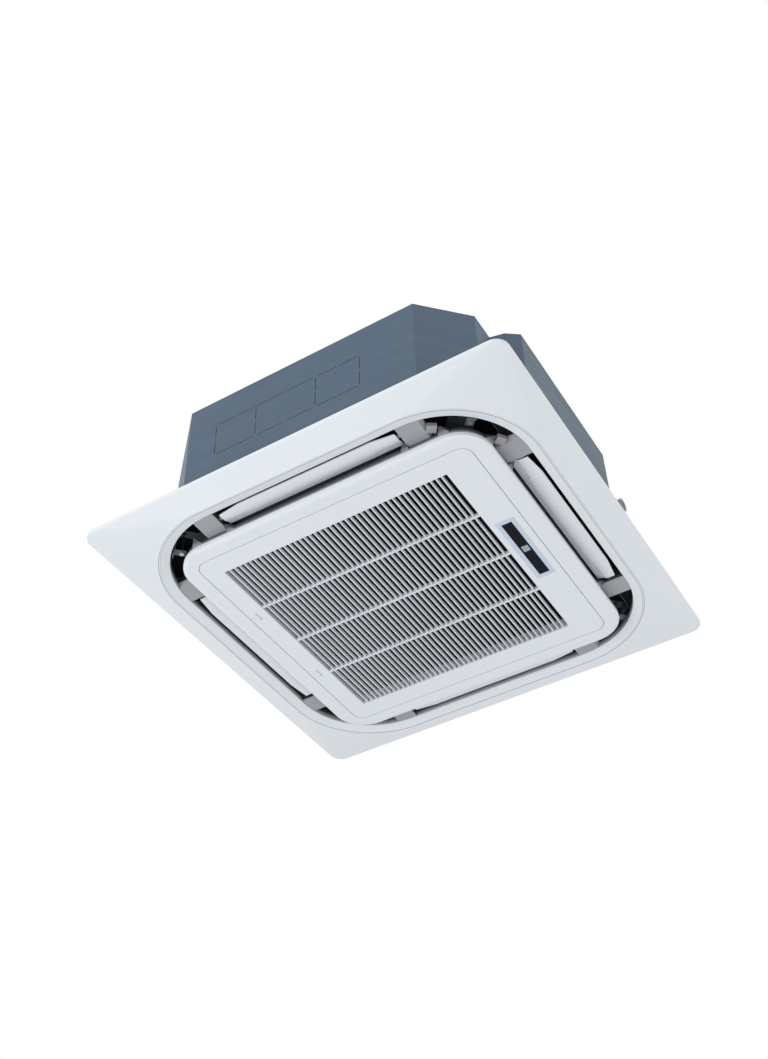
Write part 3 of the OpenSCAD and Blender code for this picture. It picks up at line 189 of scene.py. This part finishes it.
def startMaterial(name, roughness, metallic=0.0):
    material = bpy.data.materials.new(name)
    material.use_nodes = True
    tree = material.node_tree
    shader = tree.nodes["Principled BSDF"]
    shader.inputs["Roughness"].default_value = roughness
    shader.inputs["Metallic"].default_value = metallic
    return material, tree, shader


def useGroup(tree, group, **values):
    node = tree.nodes.new("ShaderNodeGroup")
    node.node_tree = group
    for label, value in values.items():
        node.inputs[label.replace("_", " ")].default_value = value
    return node


def mixColours(tree, factor, first, second):
    node = tree.nodes.new("ShaderNodeMix")
    node.data_type = "RGBA"
    tree.links.new(factor, node.inputs[0])
    for i, value in ((6, first), (7, second)):
        if isinstance(value, tuple):
            node.inputs[i].default_value = (*value, 1.0)
        else:
            tree.links.new(value, node.inputs[i])
    return node.outputs[2]


def remap(tree, value, low, high):
    node = tree.nodes.new("ShaderNodeMapRange")
    tree.links.new(value, node.inputs["Value"])
    node.inputs["To Min"].default_value = low
    node.inputs["To Max"].default_value = high
    return node.outputs["Result"]


def bumpNode(tree, shader, height, strength, distance):
    node = tree.nodes.new("ShaderNodeBump")
    node.inputs["Strength"].default_value = strength
    node.inputs["Distance"].default_value = distance
    tree.links.new(height, node.inputs["Height"])
    tree.links.new(node.outputs["Normal"], shader.inputs["Normal"])


# dust colours for faces that look up, and painted shade: a grey-green line along the groove's edges and
# near-black shade up the walls of the openings
dustAndPaintedShade = {"onPlastic": (0.42, 0.40, 0.36), "onSheet": (0.36, 0.35, 0.32), "paintedGrooveShade": (0.36, 0.40, 0.40),
         "wallShade": (0.05, 0.055, 0.065)}


def mouldedPlastic(name, light, dark, roughness, grain=0.12, dust=0.12, gloss=0.5, shade=None):
    material, tree, shader = startMaterial(name, roughness)
    surface = useGroup(tree, mouldGrain)
    film = useGroup(tree, settledDust, Amount=dust)
    colour = mixColours(tree, surface.outputs["Tone"], dark, light)
    colour = mixColours(tree, film.outputs["Mask"], colour, dustAndPaintedShade["onPlastic"])
    if shade:
        # painted shade: a darker line on the groove's edges, and dark shade rising up the opening's walls
        ring = useGroup(tree, ringShade, **shade)
        colour = mixColours(tree, ring.outputs["Line"], colour, dustAndPaintedShade["paintedGrooveShade"])
        colour = mixColours(tree, ring.outputs["Mask"], colour, dustAndPaintedShade["wallShade"])
    tree.links.new(colour, shader.inputs["Base Color"])
    tree.links.new(remap(tree, surface.outputs["Tone"], roughness - 0.04, roughness + 0.05),
                   shader.inputs["Roughness"])
    bumpNode(tree, shader, surface.outputs["Height"], strength=grain, distance=0.0002)
    shader.inputs["Specular IOR Level"].default_value = gloss
    return material


def paintedSheet(name, light, dark, roughness, streaks=0.35, dust=0.35):
    material, tree, shader = startMaterial(name, roughness)
    surface = useGroup(tree, sheetFinish)
    film = useGroup(tree, settledDust, Amount=dust)
    colour = mixColours(tree, surface.outputs["Cloud"], dark, light)
    streak = mathNode(tree, "MULTIPLY", remap(tree, surface.outputs["Streak"], -0.5, 1.5), streaks, True)
    colour = mixColours(tree, streak, colour, tuple(c * 0.8 for c in dark))
    colour = mixColours(tree, film.outputs["Mask"], colour, dustAndPaintedShade["onSheet"])
    tree.links.new(colour, shader.inputs["Base Color"])
    tree.links.new(remap(tree, surface.outputs["Streak"], roughness - 0.1, roughness + 0.12),
                   shader.inputs["Roughness"])
    bumpNode(tree, shader, surface.outputs["Height"], strength=0.15, distance=0.0003)
    return material


def zincSteel(name, light, dark, roughness):
    material, tree, shader = startMaterial(name, roughness, 0.85)
    surface = useGroup(tree, zincSpangle)
    film = useGroup(tree, settledDust, Amount=0.3)
    colour = mixColours(tree, surface.outputs["Crystal"], dark, light)
    colour = mixColours(tree, film.outputs["Mask"], colour, dustAndPaintedShade["onSheet"])
    tree.links.new(colour, shader.inputs["Base Color"])
    tree.links.new(remap(tree, surface.outputs["Crystal"], roughness - 0.08, roughness + 0.08),
                   shader.inputs["Roughness"])
    bumpNode(tree, shader, surface.outputs["Height"], strength=0.08, distance=0.0002)
    return material


def softFoam(name, light, dark):
    material, tree, shader = startMaterial(name, 0.95)
    surface = useGroup(tree, foamCells)
    tree.links.new(mixColours(tree, surface.outputs["Cell"], dark, light), shader.inputs["Base Color"])
    bumpNode(tree, shader, surface.outputs["Height"], strength=0.5, distance=0.0008)
    shader.inputs["Specular IOR Level"].default_value = 0.2
    return material


def turnedMetal(name, light, dark, roughness, scale=(3.0, 3.0, 260.0)):
    material, tree, shader = startMaterial(name, roughness, 1.0)
    place = tree.nodes.new("ShaderNodeTexCoord")
    stretch = tree.nodes.new("ShaderNodeMapping")
    stretch.inputs["Scale"].default_value = scale
    brush = tree.nodes.new("ShaderNodeTexNoise")
    brush.inputs["Scale"].default_value = 6.0
    brush.inputs["Detail"].default_value = 5.0
    tree.links.new(place.outputs["Object"], stretch.inputs["Vector"])
    tree.links.new(stretch.outputs["Vector"], brush.inputs["Vector"])
    tree.links.new(mixColours(tree, brush.outputs["Fac"], dark, light), shader.inputs["Base Color"])
    tree.links.new(remap(tree, brush.outputs["Fac"], roughness - 0.08, roughness + 0.12),
                   shader.inputs["Roughness"])
    bumpNode(tree, shader, brush.outputs["Fac"], strength=0.06, distance=0.0002)
    return material


# panelWhite and frameWhite carry painted shade up the walls of their openings, and panelWhite a darker
# painted line along its groove's edges
finishes = {
    "panelWhite": mouldedPlastic("panelWhite", (0.80, 0.835, 0.87), (0.775, 0.81, 0.845), 0.42,
                                 shade={"Half": 0.4005}),
    "frameWhite": mouldedPlastic("frameWhite", (0.80, 0.835, 0.87), (0.77, 0.805, 0.845), 0.40,
                                 shade={"Half": 0.4040, "Corner": 0.184, "Low": -0.034, "Rise": 0.012}),
    "grilleWhite": mouldedPlastic("grilleWhite", (0.80, 0.835, 0.875), (0.775, 0.81, 0.85), 0.38),
    "slatWhite": mouldedPlastic("slatWhite", (0.74, 0.76, 0.80), (0.69, 0.71, 0.75), 0.45),
    "louvreWhite": mouldedPlastic("louvreWhite", (0.82, 0.84, 0.88), (0.78, 0.80, 0.85), 0.35),
    "coverGrey": mouldedPlastic("coverGrey", (0.40, 0.40, 0.43), (0.34, 0.34, 0.37), 0.55, grain=0.3),
    "bezelBlue": mouldedPlastic("bezelBlue", (0.60, 0.68, 0.79), (0.56, 0.64, 0.76), 0.30),
    "windowBlack": mouldedPlastic("windowBlack", (0.006, 0.007, 0.012), (0.004, 0.004, 0.008), 0.25,
                                  grain=0.02, dust=0.0, gloss=0.12),
    "lensGrey": mouldedPlastic("lensGrey", (0.36, 0.44, 0.50), (0.26, 0.33, 0.39), 0.18,
                               grain=0.02, dust=0.0),
    "filterDark": mouldedPlastic("filterDark", (0.030, 0.032, 0.038), (0.020, 0.022, 0.026), 0.5),
    "netDark": softFoam("netDark", (0.006, 0.006, 0.008), (0.003, 0.003, 0.004)),
    "fanPlastic": mouldedPlastic("fanPlastic", (0.50, 0.52, 0.54), (0.44, 0.46, 0.48), 0.5, dust=0.4),
    "floatCream": mouldedPlastic("floatCream", (0.78, 0.77, 0.70), (0.70, 0.69, 0.62), 0.5),
    "motorCream": mouldedPlastic("motorCream", (0.66, 0.62, 0.52), (0.58, 0.54, 0.45), 0.5),
    "boardGreen": mouldedPlastic("boardGreen", (0.03, 0.14, 0.06), (0.02, 0.10, 0.04), 0.3),
    "rubberBlack": mouldedPlastic("rubberBlack", (0.02, 0.02, 0.02), (0.012, 0.012, 0.012), 0.8, grain=0.4),
    "casingBlue": paintedSheet("casingBlue", (0.080, 0.130, 0.190), (0.056, 0.096, 0.146), 0.52,
                               streaks=0.2, dust=0.12),
    "casingLid": paintedSheet("casingLid", (0.078, 0.126, 0.184), (0.056, 0.094, 0.142), 0.54, dust=0.6),
    "bracketSteel": paintedSheet("bracketSteel", (0.150, 0.165, 0.200), (0.110, 0.122, 0.150), 0.45),
    "motorShell": paintedSheet("motorShell", (0.42, 0.44, 0.46), (0.34, 0.36, 0.38), 0.4),
    "zinc": zincSteel("zinc", (0.62, 0.65, 0.68), (0.46, 0.49, 0.52), 0.42),
    "foamBlack": softFoam("foamBlack", (0.014, 0.014, 0.016), (0.006, 0.006, 0.007)),
    "foamGrey": softFoam("foamGrey", (0.024, 0.023, 0.027), (0.014, 0.013, 0.016)),
    "screwSteel": turnedMetal("screwSteel", (0.70, 0.70, 0.72), (0.52, 0.52, 0.54), 0.3),
    "finAluminium": turnedMetal("finAluminium", (0.80, 0.82, 0.84), (0.62, 0.64, 0.66), 0.35,
                                scale=(400.0, 400.0, 2.0)),
    "copper": turnedMetal("copper", (0.78, 0.42, 0.26), (0.52, 0.24, 0.13), 0.32),
    "nutBrass": turnedMetal("nutBrass", (0.76, 0.58, 0.26), (0.58, 0.42, 0.16), 0.3),
}
print("materials made:", len(finishes))


# Mesh helpers

def roundedSquare(half, radius, z, steps):
    # counter-clockwise, the same number of points for every size, so that loops can be joined one to one
    points = []
    for k, (sx, sy) in enumerate(((1, -1), (1, 1), (-1, 1), (-1, -1))):
        for i in range(steps + 1):
            a = math.radians(-90 + 90 * k + 90 * i / steps)
            points.append(Vector(((sx * (half - radius) + radius * math.cos(a)) * mm,
                                  (sy * (half - radius) + radius * math.sin(a)) * mm, z * mm)))
    return points


def joinLoops(mesh, loops):
    # each loop is joined to the next, and the last to the first
    rows = [[mesh.verts.new(p) for p in loop] for loop in loops]
    for a, b in zip(rows, rows[1:] + rows[:1]):
        for i in range(len(a)):
            j = (i + 1) % len(a)
            mesh.faces.new((a[i], a[j], b[j], b[i]))


# how edges are rounded and shaded, and what a copy of a solid merges: angles in degrees, lengths in mm
edges = {"segments": 2, "bevelFrom": 35, "sharpFrom": 30, "mergeWithin": 0.002, "flatWithin": 0.5}


def finishPiece(name, mesh, finish, body, node, bevel, sharpFrom=None, segments=None):
    bmesh.ops.recalc_face_normals(mesh, faces=mesh.faces)
    data = bpy.data.meshes.new(name)
    mesh.to_mesh(data)
    mesh.free()
    dressPiece(name, data, finish, body, node, bevel, sharpFrom, segments)


def dressPiece(name, data, finish, body, node, bevel, sharpFrom=None, segments=None):
    piece = bpy.data.objects.new(name, data)
    bpy.context.collection.objects.link(piece)
    data.materials.clear()
    data.materials.append(finishes[finish])
    data.shade_smooth()
    data.set_sharp_from_angle(angle=math.radians(sharpFrom or edges["sharpFrom"]))
    rounding = piece.modifiers.new("edges", "BEVEL")
    rounding.width = bevel * mm
    rounding.segments = segments or edges["segments"]
    rounding.limit_method = "ANGLE"
    rounding.angle_limit = math.radians(edges["bevelFrom"])
    rounding.use_clamp_overlap = True
    shading = piece.modifiers.new("shading", "WEIGHTED_NORMAL")
    shading.keep_sharp = True
    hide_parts(node)
    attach(piece, body)


def turned(k):
    return Matrix.Rotation(math.radians(90 * k), 4, "Z")


# Outer panel: one shell, its loops run over the outside and back along the inside
panel = {"half": 475, "corner": 28, "rim": 8, "wall": 3, "rimFillet": 0.6,
         "grooveHalf": 423, "grooveCorner": 203, "grooveZ": -28.5, "grooveWidth": 4, "grooveDepth": 1.1,
         "grooveSlope": 0.4, "lipHalf": 400, "lipCorner": 180, "lipZ": -22,
         "edge": 0.9, "edgeSegments": 3, "sharpFrom": 25, "cornerSteps": 28}


def buildOuterPanel():
    p = panel
    wall, slope = p["wall"], p["grooveSlope"]
    rim = (p["half"], p["corner"])
    groove = (p["grooveHalf"], p["grooveCorner"])
    lip = (p["lipHalf"], p["lipCorner"])
    outside = [
        (rim, 0, 0), (rim, 0, -p["rim"]), (groove, 0, p["grooveZ"]),
        (groove, -slope, p["grooveZ"] + p["grooveDepth"]),
        (groove, slope - p["grooveWidth"], p["grooveZ"] + p["grooveDepth"]),
        (groove, -p["grooveWidth"], p["grooveZ"]), (lip, 0, p["lipZ"]), (lip, 0, 0)]
    inside = [
        (lip, wall, 0), (lip, wall, p["lipZ"] + wall), (groove, -wall, p["grooveZ"] + wall),
        (rim, -wall, p["rimFillet"] - p["rim"]), (rim, -wall, 0)]
    mesh = bmesh.new()
    joinLoops(mesh, [roundedSquare(half + grow, radius + grow, z, p["cornerSteps"])
                     for (half, radius), grow, z in outside + inside])
    finishPiece("outerPanel", mesh, "panelWhite", "unit", "outer_panel", p["edge"],
                p["sharpFrom"], p["edgeSegments"])


buildOuterPanel()
print("outer panel made")


# Pieces taken over from their solids, merged and given rounded edges
def roundedCopy(name, node, finish, body, bevel):
    mesh = bmesh.new()
    mesh.from_mesh(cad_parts[node].data)
    bmesh.ops.remove_doubles(mesh, verts=mesh.verts, dist=edges["mergeWithin"] * mm)
    bmesh.ops.dissolve_limit(mesh, angle_limit=math.radians(edges["flatWithin"]), verts=mesh.verts,
                             edges=mesh.edges)
    data = bpy.data.meshes.new(name)
    mesh.to_mesh(data)
    mesh.free()
    dressPiece(name, data, finish, body, node, bevel)


copies = {
    "centreFrame": ("centre_frame", "frameWhite", "unit", 0.5),
    "bridgeCovers": ("bridge_covers", "coverGrey", "unit", 0.4),
    "grilleFrame": ("grille_frame", "grilleWhite", "grille", 0.5),
    "casingFront": ("casing_front", "casingBlue", "unit", 0.4),
    "casingRear": ("casing_rear", "casingBlue", "unit", 0.4),
    "casingTop": ("casing_top", "casingLid", "unit", 0.3),
    "hangerBrackets": ("hanger_brackets", "zinc", "unit", 0.4),
    "cornerPlates": ("corner_brackets", "bracketSteel", "unit", 0.3),
    "displayBezel": ("display_bezel", "bezelBlue", "grille", 0.25),
    "displayWindow": ("display_window", "windowBlack", "grille", 0.2),
    "receiverLens": ("receiver_lens", "lensGrey", "grille", 0.3),
    "latchFront": ("latch_front", "grilleWhite", "front_latch", 0.3),
    "latchBack": ("latch_back", "grilleWhite", "back_latch", 0.3),
    "filterFrame": ("filter_frame", "filterDark", "filter", 0.4),
}
for name, (node, finish, body, bevel) in copies.items():
    roundedCopy(name, node, finish, body, bevel)
print("rounded copies made:", len(copies))


# Louvres: one blade drawn at the front and turned to each side
# its places are (distance from the unit's middle, height), in mm
louvre = {"halfLength": 200.5, "inner": (355.7, -12), "outer": (390.75, -16), "sag": 2, "thickness": 2.5,
          "steps": 14, "notch": 55, "notchStep": 1, "notchDepth": 6.5, "taper": 50, "taperDepth": 6.5,
          "strip": ((346.5, -8), (366, -13.2), (366, -11.2), (346.5, -6)),
          "pivot": (368, -6), "armThickness": 3, "armTop": 3, "armDrop": 1, "armFoot": 3, "armHeel": 5,
          "armToe": 12, "stub": 3, "stubSides": 24, "reach": 220.5, "edge": 0.35, "sharpFrom": 40}


def bladeSection(innerCut, outerCut):
    # points of the blade's section as (distance, height), its two edges moved in by the cuts
    p = louvre
    start, end = Vector(p["inner"]), Vector(p["outer"])
    along = end - start
    normal = Vector((along.y, -along.x)).normalized()
    first = innerCut / along.x
    last = 1 - outerCut / along.x
    lower, upper = [], []
    for i in range(p["steps"] + 1):
        t = first + (last - first) * i / p["steps"]
        middle = start + along * t + normal * (4 * t * (1 - t) * p["sag"])
        lower.append(middle)
        upper.append(middle - normal * p["thickness"])
    return lower + upper[::-1]


def addStations(mesh, stations, turn):
    # joins sections of equal point counts, each at its own x, and closes both ends
    rows = [[mesh.verts.new(turn @ Vector((x * mm, -d * mm, h * mm))) for d, h in section]
            for x, section in stations]
    mesh.faces.new(rows[0])
    mesh.faces.new(rows[-1][::-1])
    for a, b in zip(rows, rows[1:]):
        for i in range(len(a)):
            j = (i + 1) % len(a)
            mesh.faces.new((a[i], b[i], b[j], a[j]))


def addSection(mesh, section, x0, x1, turn):
    addStations(mesh, [(x0, section), (x1, section)], turn)


def buildLouvre(name, node, body, k):
    p = louvre
    turn = turned(k)
    mesh = bmesh.new()
    half, taper = p["halfLength"], p["halfLength"] - p["taper"]
    notch, full = p["halfLength"] - p["notch"], p["halfLength"] - p["notch"] - p["notchStep"]
    tip = bladeSection(p["notchDepth"], p["taperDepth"])
    short, whole = bladeSection(p["notchDepth"], 0), bladeSection(0, 0)
    addStations(mesh, [(-half, tip), (-taper, short), (-notch, short), (-full, whole),
                       (full, whole), (notch, short), (taper, short), (half, tip)], turn)
    addSection(mesh, p["strip"], -half, half, turn)
    px, pz = p["pivot"]
    inner, low = p["inner"]
    arm = [(px - p["armTop"], pz + p["armTop"]), (inner + p["notchDepth"], low - p["armDrop"]),
           (px + p["armHeel"], low - p["armFoot"]), (px + p["armToe"], low - p["armFoot"]),
           (px + p["armTop"], pz + p["armTop"])]
    turns = [2 * math.pi * i / p["stubSides"] for i in range(p["stubSides"])]
    stub = [(px + p["stub"] * math.cos(a), pz + p["stub"] * math.sin(a)) for a in turns]
    for side in (-1, 1):
        x0 = side * half - (p["armThickness"] if side > 0 else 0)
        addSection(mesh, arm, x0, x0 + p["armThickness"], turn)
        x1 = side * p["reach"]
        addSection(mesh, stub, min(x0, x1), max(x0, x1), turn)
    finishPiece(name, mesh, "louvreWhite", body, node, p["edge"], p["sharpFrom"])


for k, (name, node, body) in enumerate((("louvreFront", "louvre_front", "front_blade"),
                                        ("louvreRight", "louvre_right", "right_blade"),
                                        ("louvreBack", "louvre_back", "back_blade"),
                                        ("louvreLeft", "louvre_left", "left_blade"))):
    buildLouvre(name, node, body, k)
print("louvres made")


# Geometry Nodes trees
def geometryTree(name, inputs):
    tree = bpy.data.node_groups.new(name, "GeometryNodeTree")
    tree.interface.new_socket(name="Geometry", in_out="INPUT", socket_type="NodeSocketGeometry")
    sockets = {}
    for label, (kind, value) in inputs.items():
        socket = tree.interface.new_socket(name=label, in_out="INPUT", socket_type=kind)
        if value is not None:
            socket.default_value = value
        sockets[label] = socket.identifier
    tree.interface.new_socket(name="Geometry", in_out="OUTPUT", socket_type="NodeSocketGeometry")
    return tree, tree.nodes.new("NodeGroupInput"), tree.nodes.new("NodeGroupOutput"), sockets


def realised(tree, source, inlet, outlet):
    real = tree.nodes.new("GeometryNodeRealizeInstances")
    paint = tree.nodes.new("GeometryNodeSetMaterial")
    tree.links.new(source, real.inputs["Geometry"])
    tree.links.new(real.outputs["Geometry"], paint.inputs["Geometry"])
    tree.links.new(inlet.outputs["Finish"], paint.inputs["Material"])
    tree.links.new(paint.outputs["Geometry"], outlet.inputs["Geometry"])


def growMesh(name, tree, sockets, values):
    # runs the tree on an object of its own and returns the plain mesh
    holder = bpy.data.objects.new(name + "Maker", bpy.data.meshes.new(name + "Maker"))
    bpy.context.collection.objects.link(holder)
    maker = holder.modifiers.new("maker", "NODES")
    maker.node_group = tree
    for label, value in values.items():
        maker[sockets[label]] = value
    bpy.context.view_layer.update()
    made = holder.evaluated_get(bpy.context.evaluated_depsgraph_get())
    result = bpy.data.meshes.new_from_object(made)
    holder.modifiers.clear()
    bpy.data.objects.remove(holder)
    return result


def barRowTree():
    # a row of equal bars
    tree, inlet, outlet, sockets = geometryTree("barRow", {
        "Count": ("NodeSocketInt", 1), "Start": ("NodeSocketVector", None),
        "Step": ("NodeSocketVector", None), "Bar Size": ("NodeSocketVector", None),
        "Finish": ("NodeSocketMaterial", None)})
    line = tree.nodes.new("GeometryNodeMeshLine")
    bar = tree.nodes.new("GeometryNodeMeshCube")
    place = tree.nodes.new("GeometryNodeInstanceOnPoints")
    tree.links.new(inlet.outputs["Count"], line.inputs["Count"])
    tree.links.new(inlet.outputs["Start"], line.inputs["Start Location"])
    tree.links.new(inlet.outputs["Step"], line.inputs["Offset"])
    tree.links.new(inlet.outputs["Bar Size"], bar.inputs["Size"])
    tree.links.new(line.outputs["Mesh"], place.inputs["Points"])
    tree.links.new(bar.outputs["Mesh"], place.inputs["Instance"])
    realised(tree, place.outputs["Instances"], inlet, outlet)
    return tree, sockets


barRow, barRowSockets = barRowTree()
slats = {"count": 42, "middle": -13.5, "width": 515, "depth": 533, "thickness": 2.9, "height": 8.7,
         "z": -44.3, "ribs": 3, "ribStart": -134, "ribStep": 129.25, "ribWidth": 5, "ribSink": 0.2,
         "edge": 0.5}


def buildSlats():
    p = slats
    pitch = p["width"] / (p["count"] + 1)
    first = p["middle"] - p["width"] / 2 + pitch
    z = p["z"] + p["height"] / 2
    rows = {
        "slats": (p["count"], (first, 0, z), (pitch, 0, 0), (p["thickness"], p["depth"], p["height"])),
        "ribs": (p["ribs"], (p["middle"], p["ribStart"], z + p["ribSink"] / 2), (0, p["ribStep"], 0),
                 (p["width"], p["ribWidth"], p["height"] - p["ribSink"]))}
    mesh = bmesh.new()
    for name, (count, start, step, size) in rows.items():
        mesh.from_mesh(growMesh(name, barRow, barRowSockets, {
            "Count": count, "Start": Vector(start) * mm, "Step": Vector(step) * mm,
            "Bar Size": Vector(size) * mm, "Finish": finishes["slatWhite"]}))
    finishPiece("grilleSlats", mesh, "slatWhite", "grille", "grille_slats", p["edge"])


buildSlats()
print("slats made")


# Solids that stay as they are, each with its finish
kept = {
    "zinc": ("motor_bracket", "control_box", "control_box_cover", "pipe_plate", "coil_end_plates"),
    "bracketSteel": ("panel_lugs",),
    "foamBlack": ("side_insulation", "top_insulation", "panel_seal", "drain_pan"),
    "foamGrey": ("duct_foam",),
    "fanPlastic": ("bell_mouth", "turbo_fan", "drain_pump", "drain_outlet", "float_stem", "drain_plug"),
    "floatCream": ("drain_float",),
    "finAluminium": ("coil_fins",),
    "copper": ("coil_bends", "gas_pipe", "liquid_pipe"),
    "nutBrass": ("flare_nuts",),
    "motorShell": ("fan_motor",),
    "rubberBlack": ("motor_rubbers",),
    "boardGreen": ("control_board", "display_board"),
    "motorCream": ("terminal_block", "louvre_motors", "louvre_bushes"),
    "screwSteel": ("casing_screws", "panel_screws", "frame_screws", "motor_nuts", "fan_nut", "hinge_pins",
                   "motor_shaft"),
    "netDark": ("filter_mesh",),
}
for finish, nodes in kept.items():
    for node in nodes:
        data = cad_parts[node].data
        data.materials.clear()
        data.materials.append(finishes[finish])
print("kept solids finished:", sum(len(n) for n in kept.values()))


# Studio: pale floor, white surroundings, soft lamps and the camera
studio = {"floorZ": -2.6, "floorHalf": 14.0, "floorGrey": 0.82, "floorRoughness": 0.9, "worldLevel": 0.82,
          "worldTint": (0.97, 0.985, 1.0), "white": (1.0, 1.0, 1.0)}
lamps = {"keyLamp": {"place": (-1.6, -3.2, -1.7), "aim": (0, 0, 0.05), "size": 2.6, "power": 58.0},
         "fillLamp": {"place": (2.8, 1.2, -2.0), "aim": (0, 0, 0), "size": 2.0, "power": 16.0}}
viewpoint = {"lens": 46.096, "sensor": 36.0, "reach": 60.0, "place": (1.03304, -1.87283, -1.87272),
             "right": (0.85480, 0.51848, -0.02212), "up": (0.37041, -0.57971, 0.72576),
             "back": (0.36347, -0.62858, -0.68759)}


def buildFloor():
    half, z = studio["floorHalf"], studio["floorZ"]
    mesh = bmesh.new()
    mesh.faces.new([mesh.verts.new((x * half, y * half, z)) for x, y in ((-1, -1), (1, -1), (1, 1), (-1, 1))])
    data = bpy.data.meshes.new("studioFloor")
    mesh.to_mesh(data)
    mesh.free()
    floor = bpy.data.objects.new("studioFloor", data)
    bpy.context.collection.objects.link(floor)
    paint, tree, shader = startMaterial("floorPaint", studio["floorRoughness"])
    shader.inputs["Base Color"].default_value = (*[studio["floorGrey"]] * 3, 1.0)
    data.materials.append(paint)


def buildWorld():
    world = bpy.data.worlds.new("studioWorld")
    bpy.context.scene.world = world
    world.use_nodes = True
    nodes, links = world.node_tree.nodes, world.node_tree.links
    nodes.clear()
    path = nodes.new("ShaderNodeLightPath")
    seen = nodes.new("ShaderNodeBackground")
    light = nodes.new("ShaderNodeBackground")
    mix = nodes.new("ShaderNodeMixShader")
    output = nodes.new("ShaderNodeOutputWorld")
    seen.inputs["Color"].default_value = (*studio["white"], 1.0)
    seen.inputs["Strength"].default_value = 1.0
    light.inputs["Color"].default_value = (*studio["worldTint"], 1.0)
    light.inputs["Strength"].default_value = studio["worldLevel"]
    # the camera, gloss and clear pieces see plain white, all else gets the light level
    tree = world.node_tree
    mirrored = mathNode(tree, "MAXIMUM", path.outputs["Is Glossy Ray"], path.outputs["Is Transmission Ray"])
    links.new(mathNode(tree, "MAXIMUM", path.outputs["Is Camera Ray"], mirrored), mix.inputs["Fac"])
    links.new(light.outputs["Background"], mix.inputs[1])
    links.new(seen.outputs["Background"], mix.inputs[2])
    links.new(mix.outputs["Shader"], output.inputs["Surface"])


def addLamp(name, place, aim, size, power):
    data = bpy.data.lights.new(name, "AREA")
    data.shape = "SQUARE"
    data.size = size
    data.energy = power
    lamp = bpy.data.objects.new(name, data)
    bpy.context.collection.objects.link(lamp)
    lamp.location = place
    lamp.rotation_euler = (Vector(aim) - Vector(place)).to_track_quat("-Z", "Y").to_euler()


def addCamera():
    data = bpy.data.cameras.new("camera")
    data.sensor_fit = "AUTO"
    data.sensor_width = viewpoint["sensor"]
    data.lens = viewpoint["lens"]
    data.clip_end = viewpoint["reach"]
    camera = bpy.data.objects.new("camera", data)
    bpy.context.collection.objects.link(camera)
    axes = Matrix([viewpoint[side] for side in ("right", "up", "back")]).transposed().to_4x4()
    camera.matrix_world = Matrix.Translation(viewpoint["place"]) @ axes
    bpy.context.scene.camera = camera


buildFloor()
buildWorld()
for name, lamp in lamps.items():
    addLamp(name, **lamp)
addCamera()
bpy.context.scene.view_settings.view_transform = "Standard"
print("studio made")
